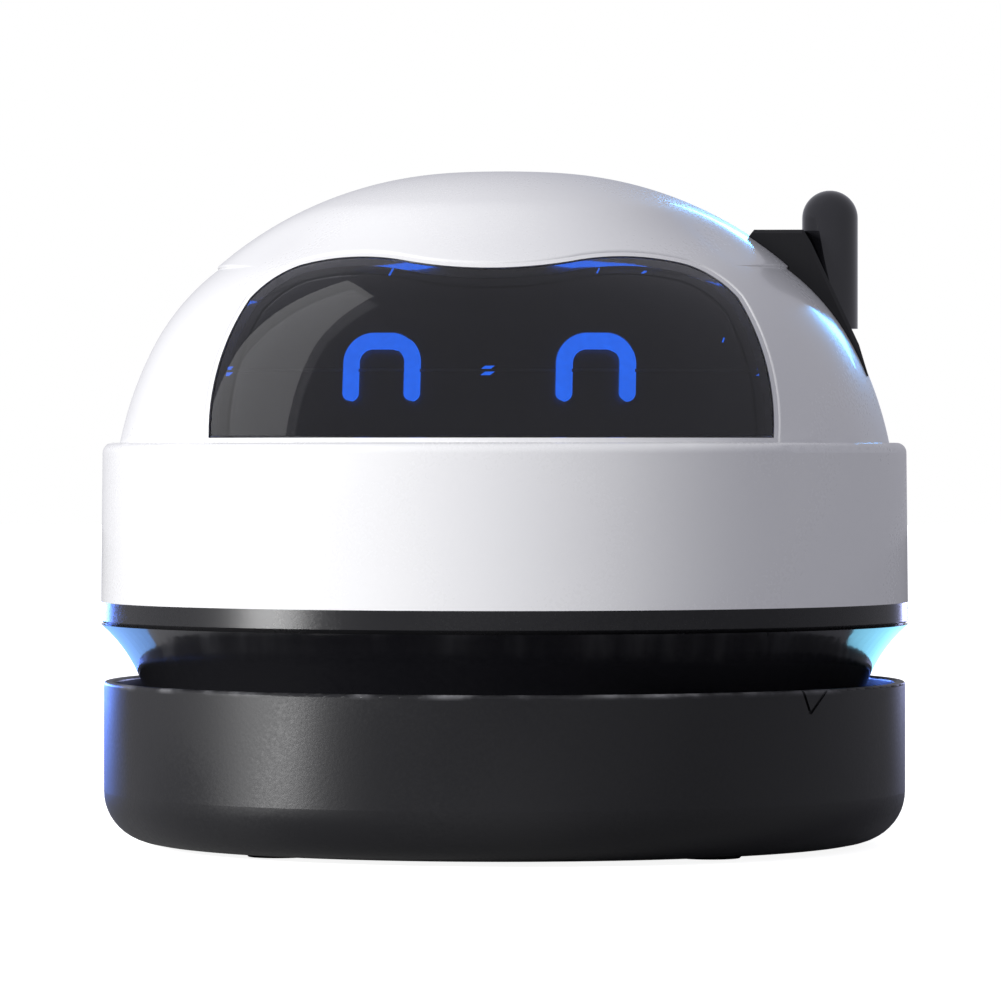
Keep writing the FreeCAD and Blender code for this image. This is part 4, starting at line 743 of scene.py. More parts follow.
class MeshDraft:
    """Vertices and faces of one piece, each face with the true normals of the surface that it stands for."""

    def __init__(self, name: str) -> None:
        """Start an empty piece.

        Args:
            name: Name of the piece.
        """
        self.name = name
        self.points: list[np.ndarray] = []
        self.known: dict[tuple[int, ...], int] = {}
        self.faces: list[tuple[int, ...]] = []
        self.normals: list[tuple[float, ...]] = []

    def vertex(self, point: np.ndarray) -> int:
        """Find the vertex at a point, or add it.

        Args:
            point: The point, in millimetres.

        Returns:
            Number of the vertex.
        """
        key = tuple(int(round(float(value) / WELD)) for value in point)
        if key not in self.known:
            self.known[key] = len(self.points)
            self.points.append(point)
        return self.known[key]

    def face(self, points: list[np.ndarray], normals: list[np.ndarray]) -> None:
        """Add one face, turned to agree with its normals, unless it has no area.

        Args:
            points: Corners of the face, in millimetres.
            normals: True normal at each corner.
        """
        ids, kept, corners = [], [], []
        for point, normal in zip(points, normals):
            number = self.vertex(point)
            if number not in ids:
                ids.append(number)
                kept.append(normal)
                corners.append(point)
        if len(ids) < 3:
            return
        across = np.zeros(3)
        for last, here in zip(corners[1:], corners[2:]):
            across += np.cross(last - corners[0], here - corners[0])
        if float(across @ sum(kept)) < 0.0:
            ids.reverse()
            kept.reverse()
        self.faces.append(tuple(ids))
        self.normals.extend(tuple(float(value) for value in normal) for normal in kept)

    def skin(self, face: "Face", loops: list[np.ndarray], depth: float, spacing: float) -> None:
        """Add one triangulated skin within its loops.

        Args:
            face: Outer face of the moulding.
            loops: Outer loop and holes.
            depth: Depth of the skin under the outer face.
            spacing: Size of the triangles.
        """
        low, high = loops[0].min(axis=0), loops[0].max(axis=0)
        counts = np.maximum(2, np.ceil((high - low) / spacing)).astype(int)
        axes = [np.linspace(low[i], high[i], counts[i] + 1)[1:-1] for i in (0, 1)]
        grid = np.stack(np.meshgrid(axes[0], axes[1]), axis=-1).reshape(-1, 2)
        grid = grid[inside(grid, loops)]
        grid = grid[clear_of(grid, loops, spacing * SKIN_GAP)]
        exact = np.concatenate([*loops, grid])
        edges, first = [], 0
        for loop in loops:
            edges.extend((first + i, first + (i + 1) % len(loop)) for i in range(len(loop)))
            first += len(loop)
        points = [Vector(point) for point in exact]
        found, _, triangles, sources, _, _ = delaunay_2d_cdt(points, edges, [], 0, TINY)
        flat = np.array([exact[source[0]] if source else tuple(point)
                         for point, source in zip(found, sources)])
        corners = np.array([tuple(triangle) for triangle in triangles])
        kept = corners[inside(flat[corners].mean(axis=1), loops)]
        places = face.place(flat, np.full(len(flat), depth))
        normals = face.normal(flat) * (1.0 if depth == 0.0 else -1.0)
        for triangle in kept:
            self.face([places[i] for i in triangle], [normals[i] for i in triangle])

    def edge(self, face: "Face", border: Border, wall: float, steps: int) -> None:
        """Add the rounded edge and the wall along one border.

        Args:
            face: Outer face of the moulding.
            border: The border.
            wall: Thickness of the moulding.
            steps: Faces across the rounding.
        """
        normals, before, middle = border.corner_ways()
        smooth = (np.einsum("ij,ij->i", normals, before) > SMOOTH_TURN)[:, None]
        after = np.roll(np.arange(len(normals)), -1)
        start_way = -np.where(smooth, middle, normals)
        end_way = -np.where(smooth[after], middle[after], normals)
        rows = []
        for step in range(steps + 1):
            tilt = math.pi / 2.0 * step / steps
            flat, depth = border.ring(tilt)
            up = face.normal(flat) * math.cos(tilt)
            rows.append((face.place(flat, depth), up + face.along(flat, start_way) * math.sin(tilt),
                         up[after] + face.along(flat[after], end_way) * math.sin(tilt)))
        sides = (face.along(border.points, start_way), face.along(border.points[after], end_way))
        rows.append((rows[-1][0], *sides))
        rows.append((face.place(border.points, np.full(len(normals), wall)), *sides))
        for index, here in enumerate(after):
            for upper, lower in zip(rows, rows[1:]):
                self.face([upper[0][index], upper[0][here], lower[0][here], lower[0][index]],
                          [upper[1][index], upper[2][index], lower[2][index], lower[1][index]])

    def moulding(self, face: "Face", borders: list[Border], wall: float, spacing: float,
                 steps: int = EDGE_STEPS) -> None:
        """Add a curved wall with rounded borders.

        Args:
            face: Outer face of the moulding.
            borders: Outer border first, then holes.
            wall: Thickness.
            spacing: Size of the triangles.
            steps: Faces across each rounding.
        """
        self.skin(face, [border.ring(0.0)[0] for border in borders], 0.0, spacing)
        self.skin(face, [border.points for border in borders], wall, spacing)
        for border in borders:
            self.edge(face, border, wall, steps)

    def finish(self, slot: str, body: Body, materials: Materials, *nodes: str) -> bpy.types.Object:
        """Make the piece and fasten it to its body.

        Args:
            slot: Material slot of the record.
            body: Body that it moves with.
            materials: Materials by slot name.
            *nodes: Packed nodes that it stands for.

        Returns:
            The piece.
        """
        mesh = bpy.data.meshes.new(self.name)
        places = [tuple(float(value) * MM for value in point) for point in self.points]
        mesh.from_pydata(places, [], self.faces)
        mesh.polygons.foreach_set("use_smooth", [True] * len(mesh.polygons))
        mesh.normals_split_custom_set(self.normals)
        mesh.materials.append(materials[slot])
        piece = bpy.data.objects.new(self.name, mesh)
        bpy.context.scene.collection.objects.link(piece)
        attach(piece, body.value)
        if nodes:
            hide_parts(*nodes)
        log.info("made %s: %d faces on %s", self.name, len(self.faces), body.value)
        return piece


class Face:
    """Curved outer face of a moulding, reached through two flat coordinates, all in millimetres."""

    def surface(self, flat: np.ndarray) -> np.ndarray:
        """Return the points of the face."""
        raise NotImplementedError

    def normal(self, flat: np.ndarray) -> np.ndarray:
        """Work out the outward normals.

        Args:
            flat: Flat coordinates of the places.

        Returns:
            Unit normals, one row each.
        """
        first = self.surface(flat + (FINE, 0.0)) - self.surface(flat - (FINE, 0.0))
        second = self.surface(flat + (0.0, FINE)) - self.surface(flat - (0.0, FINE))
        across = np.cross(first, second)
        across /= np.linalg.norm(across, axis=1)[:, None]
        outward = np.einsum("ij,ij->i", across, self.surface(flat) - HEAD_MIDDLE)
        return across * np.where(outward < 0.0, -1.0, 1.0)[:, None]

    def place(self, flat: np.ndarray, depth: np.ndarray) -> np.ndarray:
        """Return the points at depths under the face."""
        return self.surface(flat) - self.normal(flat) * depth[:, None]

    def along(self, flat: np.ndarray, direction: np.ndarray) -> np.ndarray:
        """Return unit vectors in space for directions in the flat coordinates."""
        moved = self.surface(flat + direction * FINE) - self.surface(flat - direction * FINE)
        return moved / np.linalg.norm(moved, axis=1)[:, None]


def inside(points: np.ndarray, loops: list[np.ndarray]) -> np.ndarray:
    """Tell which points lie within a set of closed loops.

    Args:
        points: Points to test.
        loops: Outer loop and holes.

    Returns:
        True where a point is inside an odd number of loops.
    """
    result = np.zeros(len(points), bool)
    for loop in loops:
        for (x0, y0), (x1, y1) in zip(loop, np.roll(loop, -1, axis=0)):
            if y0 != y1:
                spans = (points[:, 1] >= min(y0, y1)) & (points[:, 1] < max(y0, y1))
                result ^= spans & (x0 + (points[:, 1] - y0) * (x1 - x0) / (y1 - y0) > points[:, 0])
    return result


def clear_of(points: np.ndarray, loops: list[np.ndarray], gap: float) -> np.ndarray:
    """Tell which points keep a gap from every loop.

    Args:
        points: Points to test.
        loops: Closed loops.
        gap: Least distance.

    Returns:
        True where a point keeps the gap.
    """
    result = np.ones(len(points), bool)
    for loop in loops:
        for start, end in zip(loop, np.roll(loop, -1, axis=0)):
            along = end - start
            share = np.clip(((points - start) @ along) / float(along @ along), 0.0, 1.0)
            result &= np.linalg.norm(points - start - share[:, None] * along, axis=1) > gap
    return result


def arc_points(start: Pair, middle: Pair, end: Pair, step: float) -> np.ndarray:
    """Walk the arc through three points.

    Args:
        start: First point.
        middle: Point on the way.
        end: Last point, which is left out of the result.
        step: Length of each step.

    Returns:
        Points along the arc.
    """
    a, b, c = (np.array(point, float) for point in (start, middle, end))
    rows = np.array([b - a, c - a]) * 2.0
    centre = np.linalg.solve(rows, np.array([b @ b - a @ a, c @ c - a @ a]))
    first, last = math.atan2(*(a - centre)[::-1]), math.atan2(*(c - centre)[::-1])
    through = math.atan2(*(b - centre)[::-1])
    turn = (last - first) % (2.0 * math.pi)
    if (through - first) % (2.0 * math.pi) > turn:
        turn -= 2.0 * math.pi
    radius = float(np.linalg.norm(a - centre))
    count = max(2, math.ceil(abs(turn) * radius / step))
    angles = first + turn * np.arange(count) / count
    return centre + radius * np.stack([np.cos(angles), np.sin(angles)], axis=1)


def smooth_step(value: np.ndarray) -> np.ndarray:
    """Ease from 0 to 1."""
    share = np.clip(value, 0.0, 1.0)
    return share * share * (3.0 - 2.0 * share)


@dataclass(frozen=True)
class DomeProfile:
    """Section of the head above the band, in millimetres: a steep side arc and a rounder shoulder arc.

    Attributes:
        foot_radius: Radius of the foot.
        foot_height: Height of the foot.
        side_radius: Radius of the side arc.
        shoulder_radius: Radius of the shoulder arc.
        lean_deg: Slope of the face at the foot.
        joint_deg: Slope where the two arcs meet.
    """

    foot_radius: float
    foot_height: float
    side_radius: float = 41.3
    shoulder_radius: float = 25.7
    lean_deg: float = 11.5
    joint_deg: float = 26.85

    @property
    def lean(self) -> float:
        """Slope of the face at the foot, in radians."""
        return math.radians(self.lean_deg)

    @property
    def joint(self) -> float:
        """Slope where the two arcs meet, in radians."""
        return math.radians(self.joint_deg)

    @property
    def side_length(self) -> float:
        """Length of the side arc."""
        return (self.joint - self.lean) * self.side_radius

    def sunk(self, depth: float) -> "DomeProfile":
        """Return the section of a face that lies at a depth under this one."""
        return DomeProfile(self.foot_radius - depth * math.cos(self.lean),
                           self.foot_height - depth * math.sin(self.lean), self.side_radius - depth,
                           self.shoulder_radius - depth, self.lean_deg, self.joint_deg)

    def centre(self, shoulder: bool) -> Pair:
        """Find an arc's centre.

        Args:
            shoulder: Whether the shoulder's arc is meant, and not the side's.

        Returns:
            Radius and height of the centre.
        """
        out = self.foot_radius - self.side_radius * math.cos(self.lean)
        up = self.foot_height - self.side_radius * math.sin(self.lean)
        if not shoulder:
            return out, up
        more = self.side_radius - self.shoulder_radius
        return out + more * math.cos(self.joint), up + more * math.sin(self.joint)

    def at(self, travel: np.ndarray) -> tuple[np.ndarray, np.ndarray]:
        """Find places on the face.

        Args:
            travel: Distances up the face from the foot.

        Returns:
            Radii and heights.
        """
        low = self.lean + travel / self.side_radius
        high = self.joint + (travel - self.side_length) / self.shoulder_radius
        on_side = travel < self.side_length
        (side_out, side_up), (out, up) = self.centre(False), self.centre(True)
        radius = np.where(on_side, side_out + self.side_radius * np.cos(low),
                          out + self.shoulder_radius * np.cos(high))
        height = np.where(on_side, side_up + self.side_radius * np.sin(low),
                          up + self.shoulder_radius * np.sin(high))
        return radius, height

    def travel_at(self, height: np.ndarray) -> np.ndarray:
        """Find how far up the face it reaches each height.

        Args:
            height: Heights.

        Returns:
            Distances up the face from the foot.
        """
        (_, side_up), (_, up) = self.centre(False), self.centre(True)
        low = np.arcsin(np.clip((height - side_up) / self.side_radius, -1.0, 1.0))
        high = np.arcsin(np.clip((height - up) / self.shoulder_radius, -1.0, 1.0))
        return np.where(low < self.joint, (low - self.lean) * self.side_radius,
                        self.side_length + (high - self.joint) * self.shoulder_radius)

    def radius_at(self, height: np.ndarray) -> np.ndarray:
        """Return the face's radius at a height."""
        return self.at(self.travel_at(height))[0]

    def height_at(self, radius: np.ndarray) -> np.ndarray:
        """Find the face's height at each radius.

        Args:
            radius: Radii.

        Returns:
            Heights.
        """
        (side_out, side_up), (out, up) = self.centre(False), self.centre(True)
        high = up + np.sqrt(np.maximum(self.shoulder_radius ** 2 - (radius - out) ** 2, 0.0))
        low = side_up + np.sqrt(np.maximum(self.side_radius ** 2 - (radius - side_out) ** 2, 0.0))
        return np.where(radius > side_out + self.side_radius * math.cos(self.joint), low, high)


@dataclass(frozen=True)
class DomeFace(Face):
    """Outer face of the dome: distance round from the back, and distance up from the foot.

    Attributes:
        profile: Section of the head.
        scale: Radius at which the distance round is measured.
    """

    profile: DomeProfile
    scale: float = 40.0

    def surface(self, flat: np.ndarray) -> np.ndarray:
        """Place points on the face.

        Args:
            flat: Their flat coordinates.

        Returns:
            The points.
        """
        turn = flat[:, 0] / self.scale + math.pi
        radius, height = self.profile.at(flat[:, 1])
        return np.stack([radius * np.sin(turn), -radius * np.cos(turn), height], axis=1)

    def flat_of(self, across: np.ndarray, forward: np.ndarray, height: np.ndarray) -> np.ndarray:
        """Find flat coordinates of points on the face.

        Args:
            across: Their distances to the right of the axis.
            forward: Their distances in front of it.
            height: Their heights.

        Returns:
            The flat coordinates.
        """
        turn = np.arctan2(across, forward)
        round_back = np.where(turn > 0.0, turn - math.pi, turn + math.pi)
        return np.stack([round_back * self.scale, self.profile.travel_at(height)], axis=1)


@dataclass(frozen=True)
class WindowFace(Face):
    """Face of the window seen from the front: sideways place and height.

    Attributes:
        profile: Section of the head.
        sunk: Depth of this face under the dome's.
    """

    profile: DomeProfile
    sunk: float

    def surface(self, flat: np.ndarray) -> np.ndarray:
        """Place points on the face.

        Args:
            flat: Their flat coordinates.

        Returns:
            The points.
        """
        radius = self.profile.radius_at(flat[:, 1]) - self.sunk
        forward = np.sqrt(np.maximum(radius ** 2 - flat[:, 0] ** 2, 0.0))
        return np.stack([flat[:, 0], -forward, flat[:, 1]], axis=1)


@dataclass(frozen=True)
class CrownFace(Face):
    """Upper face of the crown seen from above: a shallow arc whose rim stands a step above the dome.

    Attributes:
        profile: Section of the head below it.
        top: Height of the flat middle.
        flat_radius: Radius of the flat middle.
        curve: Radius of the crown's arc.
        blend_from: Radius at which the front starts to follow the dome.
        blend_to: Radius at which the front follows it wholly.
        fade_deg: Angles from the front between which the rim's step grows.
    """

    profile: DomeProfile
    top: float
    flat_radius: float = 3.9
    curve: float = 42.8
    blend_from: float = 22.0
    blend_to: float = 31.6
    fade_deg: Pair = (54.0, 72.0)

    def step_share(self, across: np.ndarray, back: np.ndarray) -> np.ndarray:
        """Return how much of the rim's step there is at each place."""
        turn = np.degrees(np.abs(np.arctan2(across, -back)))
        return smooth_step((turn - self.fade_deg[0]) / (self.fade_deg[1] - self.fade_deg[0]))

    def surface(self, flat: np.ndarray) -> np.ndarray:
        """Place points on the face.

        Args:
            flat: Their flat coordinates.

        Returns:
            The points.
        """
        radius = np.hypot(flat[:, 0], flat[:, 1])
        beyond = np.maximum(radius - self.flat_radius, 0.0)
        arched = self.top - self.curve + np.sqrt(self.curve ** 2 - beyond ** 2)
        follow = smooth_step((radius - self.blend_from) / (self.blend_to - self.blend_from))
        follow *= 1.0 - self.step_share(flat[:, 0], flat[:, 1])
        height = arched * (1.0 - follow) + self.profile.height_at(radius) * follow
        return np.stack([flat[:, 0], flat[:, 1], height], axis=1)


@dataclass(frozen=True)
class HeadShell:
    """Dome, crown and window of the head, in millimetres.

    Attributes:
        profile: Section of the head.
        top: Height of the crown's top.
        seam_radius: Radius of the seam between dome and crown.
        rim_radius: Radius of the crown's rim where it stands proud.
        wall: Thickness of the shells.
        edge_round: Rounding of the window's edge.
        rim_round: Rounding of the crown's rim.
        rod_place: Distance of the rod from the axis, to the right.
        rod_hole: Radius of the hole for the rod.
        lens_inset: Gap from the window's edge to the lens.
        lens_sunk: Depth of the lens's face under the dome's.
        lens_wall: Thickness of the lens.
        lens_round: Rounding of the lens's edge.
        corners: Half of the window's outline, as ends and middles of arcs: sideways and above the foot.
        dip: Height of the dip at the outline's top middle, above the foot.
        hole_steps: Steps round the hole for the rod.
        spacing: Size of the triangles.
        step: Length of each step along an outline.
    """

    profile: DomeProfile
    top: float
    rod_place: float
    seam_radius: float = 31.9
    rim_radius: float = 32.1
    wall: float = 1.8
    edge_round: float = 0.35
    rim_round: float = 0.2
    rod_hole: float = 3.75
    lens_inset: float = 0.53
    lens_sunk: float = 0.35
    lens_wall: float = 2.65
    lens_round: float = 0.2
    corners: tuple[Pair, ...] = (
        (30.75, 0.0), (30.2, 7.6), (26.8, 15.9), (24.6, 17.9), (21.0, 19.7), (15.2, 20.5), (8.5, 19.9))
    dip: float = 19.15
    hole_steps: int = 64
    spacing: float = 1.0
    step: float = 0.5

    def window_side(self) -> np.ndarray:
        """Draw the right half of the window's outline.

        Returns:
            Its points, from the foot up to the top middle.
        """
        arcs = [arc_points(*self.corners[first:first + 3], self.step) for first in (0, 2, 4)]
        start = self.corners[-1]
        dip = arc_points(start, (0.0, self.dip), (-start[0], start[1]), self.step)
        dip = dip[dip[:, 0] > TINY]
        side = np.concatenate([*arcs, dip, [(0.0, self.dip)]])
        return side + (0.0, self.profile.foot_height)

    def seam_height(self) -> float:
        """Return the height of the seam."""
        return float(self.profile.height_at(np.array([self.seam_radius]))[0])

    def split_side(self) -> tuple[np.ndarray, np.ndarray]:
        """Cut the right half of the window's outline at the seam.

        Returns:
            The part on the dome, from the foot up, and the part on the crown, from the seam to the middle.
        """
        side = self.window_side()
        seam = self.seam_height()
        over = int(np.argmax(side[:, 1] > seam))
        low, high = side[over - 1], side[over]
        cut = low + (high - low) * (seam - low[1]) / (high[1] - low[1])
        return np.vstack([side[:over], cut]), np.vstack([cut, side[over:]])

    def forward_of(self, side: np.ndarray) -> np.ndarray:
        """Return how far in front of the axis the points of an outline lie on the dome."""
        return np.sqrt(self.profile.radius_at(side[:, 1]) ** 2 - side[:, 0] ** 2)

    def dome(self, materials: Materials) -> None:
        """Make the dome.

        Args:
            materials: Materials by slot name.
        """
        face = DomeFace(self.profile)
        side = self.split_side()[0]
        right = face.flat_of(side[:, 0], self.forward_of(side), side[:, 1])
        left = right * (-1.0, 1.0)
        count = math.ceil(2.0 * float(left[0, 0]) / self.step)
        foot = np.linspace(right[0], left[0], count)
        seam = np.linspace(left[-1], right[-1], count)
        points = np.vstack([foot[:-1], left[:-1], seam[:-1], right[:0:-1]])
        straight, curved = np.zeros(count - 1), np.full(len(left) - 1, self.edge_round)
        rounding = np.concatenate([straight, curved, straight, curved])
        hole_turns = np.linspace(0.0, -2.0 * math.pi, self.hole_steps, endpoint=False)
        across = self.rod_place + self.rod_hole * np.cos(hole_turns)
        back = self.rod_hole * np.sin(hole_turns)
        hole = face.flat_of(across, -back, self.profile.height_at(np.hypot(across, back)))
        draft = MeshDraft("dome_moulding")
        borders = [Border(points, rounding), Border(hole, np.zeros(len(hole)))]
        draft.moulding(face, borders, self.wall, self.spacing)
        draft.finish("white_plastic", Body.HEAD, materials, "dome_shell")

    def crown(self, materials: Materials) -> None:
        """Make the crown.

        Args:
            materials: Materials by slot name.
        """
        face = CrownFace(self.profile, self.top)
        side = self.split_side()[1]
        right = np.stack([side[:, 0], -self.forward_of(side)], axis=1)
        left = right * (-1.0, 1.0)
        start = math.atan2(right[0, 1], right[0, 0])
        count = math.ceil((math.pi - 2.0 * start) * self.rim_radius / self.step)
        turns = np.linspace(start, math.pi - start, count)
        rim = np.stack([np.cos(turns), np.sin(turns)], axis=1)
        share = face.step_share(rim[:, 0], rim[:, 1])
        rim *= (self.seam_radius + (self.rim_radius - self.seam_radius) * share)[:, None]
        points = np.vstack([rim[:-1], left[:-1], right[:0:-1]])
        curved = np.full(len(left) + len(right) - 2, self.edge_round)
        rounding = np.concatenate([self.rim_round * share[:-1], curved])
        draft = MeshDraft("crown_moulding")
        draft.moulding(face, [Border(points, rounding)], self.wall, self.spacing)
        draft.finish("white_plastic", Body.HEAD, materials, "crown_cap")

    def window_outline(self) -> np.ndarray:
        """Draw the whole outline of the window.

        Returns:
            Its points, from the left end of the foot round by the right.
        """
        side = self.window_side()
        count = math.ceil(2.0 * float(side[0, 0]) / self.step)
        foot = np.linspace(side[0] * (-1.0, 1.0), side[0], count)
        return np.vstack([foot[:-1], side[:-1], (side * (-1.0, 1.0))[:0:-1]])

    def lens(self, materials: Materials) -> None:
        """Make the smoked lens.

        Args:
            materials: Materials by slot name.
        """
        outline = self.window_outline()
        inner = Border(outline, np.zeros(len(outline))).inset(np.full(len(outline), self.lens_inset))
        draft = MeshDraft("window_lens")
        border = Border(inner, np.full(len(inner), self.lens_round))
        draft.moulding(WindowFace(self.profile, self.lens_sunk), [border], self.lens_wall, self.spacing)
        draft.finish("smoked_lens", Body.HEAD, materials, "visor_lens")

    def build(self, materials: Materials) -> None:
        """Make all three mouldings.

        Args:
            materials: Materials by slot name.
        """
        self.dome(materials)
        self.crown(materials)
        self.lens(materials)


@dataclass(frozen=True)
class PanelTrim:
    """Bead, and small emissive plates that paint blue glints on the panel behind the window, in millimetres.

    Attributes:
        profile: Section of the head.
        depth: Depth of the panel's face under the dome's.
        proud: How far the bead and the slots' painted glints stand out of the panel.
        glint_proud: How far the seam's painted glints stand out of it.
        wall_share: Thickness of a plate, as a multiple of how far it stands out.
        plate_steps: Faces across a plate's rounded edge.
        seam_rise: Height of the seam above the foot.
        bead_height: Height of the bead that fills the seam.
        bead_reach: Half of the bead's length.
        glint_places: Middles of the seam's painted glints, sideways.
        glint_size: Width and height of each half of a painted glint.
        glint_gap: Distance between the middles of a painted glint's halves.
        slot_glints: Glowing plates that paint glints at the ends of the slots: sideways, above the foot,
            width and height.
        step: Length of each step along an outline.
    """

    profile: DomeProfile
    depth: float = 5.0
    proud: float = 0.06
    glint_proud: float = 0.12
    wall_share: float = 2.0
    plate_steps: int = 2
    seam_rise: float = 7.35
    bead_height: float = 0.3
    bead_reach: float = 29.0
    # Painted glints: places of the emissive plates on the seam and at the slots, where the panel has no lamp.
    glint_places: tuple[float, ...] = (-28.4, 0.0, 28.4)
    glint_size: Pair = (1.5, 0.36)
    glint_gap: float = 0.62
    slot_glints: tuple[tuple[float, ...], ...] = (
        (-11.0, 18.1, 0.35, 1.0), (11.0, 18.2, 0.3, 0.7), (15.8, 18.2, 0.6, 0.35), (24.2, 10.6, 0.3, 0.5))
    step: float = 0.5

    def plate(self, draft: MeshDraft, middle: Pair, size: Pair, proud: float) -> None:
        """Add one thin plate that follows the panel.

        Args:
            draft: Piece that gets it.
            middle: Sideways place, and height above the foot.
            size: Width and height.
            proud: How far it stands out of the panel.
        """
        low = np.array(middle) - np.array(size) / 2.0 + (0.0, self.profile.foot_height)
        high = low + size
        count = max(2, math.ceil(size[0] / self.step))
        bottom = np.linspace(low, (high[0], low[1]), count, endpoint=False)
        top = np.linspace(high, (low[0], high[1]), count, endpoint=False)
        points = np.vstack([bottom, top])
        face = WindowFace(self.profile.sunk(self.depth - proud), 0.0)
        border = Border(points, np.full(len(points), proud))
        draft.moulding(face, [border], proud * self.wall_share, self.step, self.plate_steps)

    def build(self, materials: Materials) -> None:
        """Make the bead and the emissive plates that paint glints.

        Args:
            materials: Materials by slot name.
        """
        bead = MeshDraft("panel_seam_bead")
        self.plate(bead, (0.0, self.seam_rise), (2.0 * self.bead_reach, self.bead_height), self.proud)
        bead.finish("filter_grey", Body.HEAD, materials)
        # Emissive blue plates on the seam and at the slots: painted glints, with no lamp behind them.
        painted_glints = MeshDraft("panel_seam_lamps")
        for across in self.glint_places:
            for side in (-0.5, 0.5):
                middle = (across, self.seam_rise + side * self.glint_gap)
                self.plate(painted_glints, middle, self.glint_size, self.glint_proud)
        for across, rise, width, height in self.slot_glints:
            self.plate(painted_glints, (across, rise), (width, height), self.proud)
        painted_glints.finish("eye_blue", Body.HEAD, materials)


@dataclass(frozen=True)
class Panel:
    """One soft panel light.

    Attributes:
        name: Name of the light.
        place: Middle of the panel, in metres.
        aim: Point that it faces.
        across: Direction of its width.
        size: Width and height in metres.
        power: Power in watts.
        colour: Colour of the light.
        mirrored: Whether glossy faces show it.
        only: Pieces that it lights, or none where it lights all.
        rim_only: Whether it shows in glossy faces alone.
    """

    name: str
    place: Place
    aim: Place
    across: Place
    size: Pair
    power: float
    colour: Colour = WHITE
    mirrored: bool = False
    only: tuple[str, ...] = ()
    rim_only: bool = False


ROOM_TINT: Colour = (0.89, 0.89, 1.0)
ROOM_FILL = 0.47
FLOOR_BOUNCE: Colour = (0.42, 0.42, 0.43)
FLOOR_TONES: tuple[Colour, Colour] = ((0.93, 0.93, 0.94), (0.95, 0.95, 0.95))
FLOOR_GLOW = 0.9
SHELLS = ("crown_moulding", "dome_moulding")
PANELS = (
    Panel("key_left", (-1.137, -0.767, 0.50), (0.0, 0.0, 0.04), (0.56, -0.83, 0.0), (0.55, 0.45), 24.0,
          (1.0, 1.0, 0.98)),
    Panel("window_strip", (-0.5, 0.031, 0.61), (0.0, 0.031, 0.61), (0.0, 0.964, -0.265), (0.30, 0.93), 0.95,
          mirrored=True, only=("window_lens",)),
    Panel("cup_sheen", (-0.72, -0.35, 0.075), (0.0, 0.0, 0.02), (0.35, -0.72, 0.0), (0.24, 0.13), 3.8,
          mirrored=True, only=("dust_cup", "trim_ring", "lock_collar")),
    Panel("rod_glint", (-0.706, -0.30, 0.101), (0.036, 0.0, 0.07), (0.375, -0.927, 0.0), (0.30, 0.012), 0.34,
          mirrored=True, only=("antenna_rod",)),
    Panel("rim_left_floor", (-0.070, 0.20, 0.004), (-0.070, 0.20, 1.0), (1.0, 0.0, 0.0), (0.07, 0.38), 0.12,
          (0.06, 0.35, 1.0), True, ("neck_shroud",), True),
    Panel("rim_left_back", (-0.25, 0.54, 0.055), (-0.04, 0.0, 0.02), (0.9, 0.4, 0.0), (0.16, 0.10), 2.6,
          (0.12, 0.26, 1.0), True, ("dust_cup", "trim_ring"), True),
    Panel("rim_right_floor", (0.070, 0.20, 0.004), (0.070, 0.20, 1.0), (1.0, 0.0, 0.0), (0.07, 0.38), 0.18,
          (0.22, 0.70, 1.0), True, ("neck_shroud",), True),
    Panel("rim_right_back", (0.20, 0.56, 0.055), (0.04, 0.0, 0.02), (0.9, -0.4, 0.0), (0.10, 0.10), 0.35,
          (0.5, 0.55, 1.0), True, ("dust_cup", "trim_ring"), True),
    Panel("rim_right_high", (0.30, 1.0, 0.36), (0.0, 0.0, 0.05), (1.0, -0.25, 0.0), (0.34, 0.22), 5.0,
          (0.10, 0.42, 1.0), True, (*SHELLS, "antenna_bracket"), True),
)


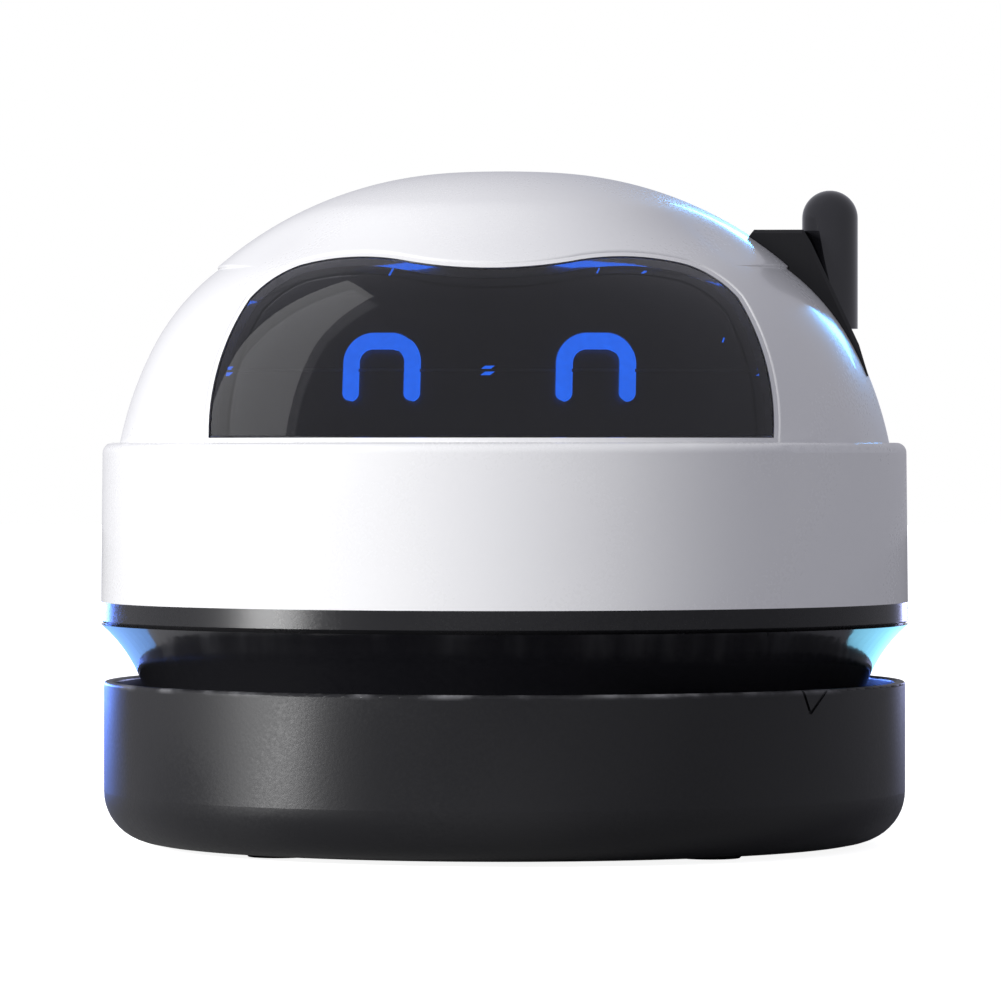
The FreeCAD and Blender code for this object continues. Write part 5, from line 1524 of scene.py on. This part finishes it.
@dataclass
class Studio:
    """Floor, soft lights and the camera at the photographed view.

    Attributes:
        yaw: Camera's angle round the part, in degrees from the front towards +X.
        distance: Camera's distance from the axis.
        height: Camera's height.
        aim_height: Height that the middle of the picture looks at.
        aim_left: How far the middle of the picture is to the camera's left of the axis.
        focal: Focal length in pixels of the picture.
        picture: Width of the picture in pixels.
        sensor: Width of the camera's sensor, in millimetres.
        near: Nearest distance that the camera sees, in metres.
        far: Farthest distance that it sees.
        floor_half: Half of the floor's width, in metres.
        floor_grain: Grain of the floor, in pebbles per metre.
        floor_rough: Roughness of the floor.
    """

    yaw: float = 2.9
    distance: float = 0.706
    height: float = 0.0440
    aim_height: float = 0.03836
    aim_left: float = 0.00045
    focal: float = 6319.0
    picture: float = 1001.0
    sensor: float = 36.0
    near: float = 0.01
    far: float = 20.0
    floor_half: float = 3.0
    floor_grain: float = 300.0
    floor_rough: float = 0.9

    def camera(self) -> None:
        """Place the camera."""
        data = bpy.data.cameras.new("camera")
        data.sensor_width = self.sensor
        data.lens = self.focal / self.picture * self.sensor
        data.clip_start, data.clip_end = self.near, self.far
        turn = math.radians(self.yaw)
        right = Vector((math.cos(turn), math.sin(turn), 0.0))
        place = Vector((math.sin(turn) * self.distance, -math.cos(turn) * self.distance, self.height))
        target = Vector((0.0, 0.0, self.aim_height)) - right * self.aim_left
        place -= right * self.aim_left
        camera = bpy.data.objects.new("camera", data)
        camera.matrix_world = (target - place).to_track_quat("-Z", "Y").to_matrix().to_4x4()
        camera.location = place
        bpy.context.scene.collection.objects.link(camera)
        bpy.context.scene.camera = camera

    def panel_light(self, panel: Panel) -> None:
        """Add one soft panel light.

        Args:
            panel: The panel's place, size, strength and use.
        """
        data = bpy.data.lights.new(panel.name, "AREA")
        data.shape = "RECTANGLE"
        data.size, data.size_y = panel.size
        data.energy = panel.power
        data.color = panel.colour
        light = bpy.data.objects.new(panel.name, data)
        place = Vector(panel.place)
        light.location = place
        facing = (Vector(panel.aim) - place).normalized()
        across = Vector(panel.across) - facing * Vector(panel.across).dot(facing)
        across.normalize()
        up = (-facing).cross(across)
        light.rotation_euler = Matrix((across, up, -facing)).transposed().to_euler()
        light.visible_glossy = panel.mirrored
        light.visible_transmission = panel.mirrored
        light.visible_camera = False
        light.visible_diffuse = not panel.rim_only
        bpy.context.scene.collection.objects.link(light)
        if panel.only:
            group = bpy.data.collections.new(panel.name + "_pieces")
            for name in panel.only:
                group.objects.link(frame["nodes"].get(name) or bpy.data.objects[name])
            light.light_linking.receiver_collection = group

    def lights(self) -> None:
        """Add the soft lights."""
        for panel in PANELS:
            self.panel_light(panel)

    def world(self) -> None:
        """Give the room a pale lavender fill and a white background."""
        world = bpy.data.worlds.new("studio_white")
        world.use_nodes = True
        tree = world.node_tree
        tree.nodes.clear()
        seen = add_node(tree, "ShaderNodeLightPath").outputs["Is Camera Ray"]
        room = add_node(tree, "ShaderNodeBackground", {0: rgba(ROOM_TINT), 1: ROOM_FILL})
        white = add_node(tree, "ShaderNodeBackground", {0: rgba(WHITE), 1: 1.0})
        mixed = add_node(tree, "ShaderNodeMixShader", {0: seen, 1: room.outputs[0], 2: white.outputs[0]})
        add_node(tree, "ShaderNodeOutputWorld", {0: mixed.outputs[0]})
        bpy.context.scene.world = world

    def floor(self) -> None:
        """Lay the pale floor, bright to the eye and dimmer in what it throws back."""
        signs = ((-1.0, -1.0), (1.0, -1.0), (1.0, 1.0), (-1.0, 1.0))
        corners = [(x * self.floor_half, y * self.floor_half, 0.0) for x, y in signs]
        mesh = bpy.data.meshes.new("floor")
        mesh.from_pydata(corners, [], [(0, 1, 2, 3)])
        floor = bpy.data.objects.new("floor", mesh)
        material, tree, shader = open_material("pale_floor")
        grain = EFFECTS.use(tree, Effect.GRAIN, Scale=self.floor_grain, Ripple=0.5)
        tone = blend_colours(tree, grain.outputs["Tone"], *(rgba(tone) for tone in FLOOR_TONES))
        seen = add_node(tree, "ShaderNodeLightPath").outputs["Is Camera Ray"]
        tone = blend_colours(tree, seen, rgba(FLOOR_BOUNCE), tone)
        glow = blend_colours(tree, seen, rgba(BLACK), rgba(WHITE))
        fill(tree, shader, {"Base Color": tone, "Roughness": self.floor_rough, "Specular IOR Level": 0.0,
                            "Emission Color": glow, "Emission Strength": FLOOR_GLOW})
        mesh.materials.append(material)
        bpy.context.scene.collection.objects.link(floor)

    def build(self) -> None:
        """Set the whole studio."""
        self.camera()
        self.lights()
        self.world()
        self.floor()
        bpy.context.scene.view_settings.view_transform = "Standard"
        log.info("studio ready")


def main() -> None:
    """Build every sub-assembly in order, then the studio."""
    logging.basicConfig(level=logging.INFO, format="%(name)s: %(message)s")
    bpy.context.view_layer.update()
    materials = finishes()
    dress_nodes(materials)
    band_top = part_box("body_band")[1]
    profile = DomeProfile(band_top.x / MM - DOME_SETBACK, band_top.z / MM)
    rod = (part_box("antenna_rod")[0].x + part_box("antenna_rod")[1].x) / 2.0
    HeadShell(profile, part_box("crown_cap")[1].z / MM, rod / MM).build(materials)
    PanelTrim(profile).build(materials)
    Studio().build()


if __name__ == "__main__":
    main()
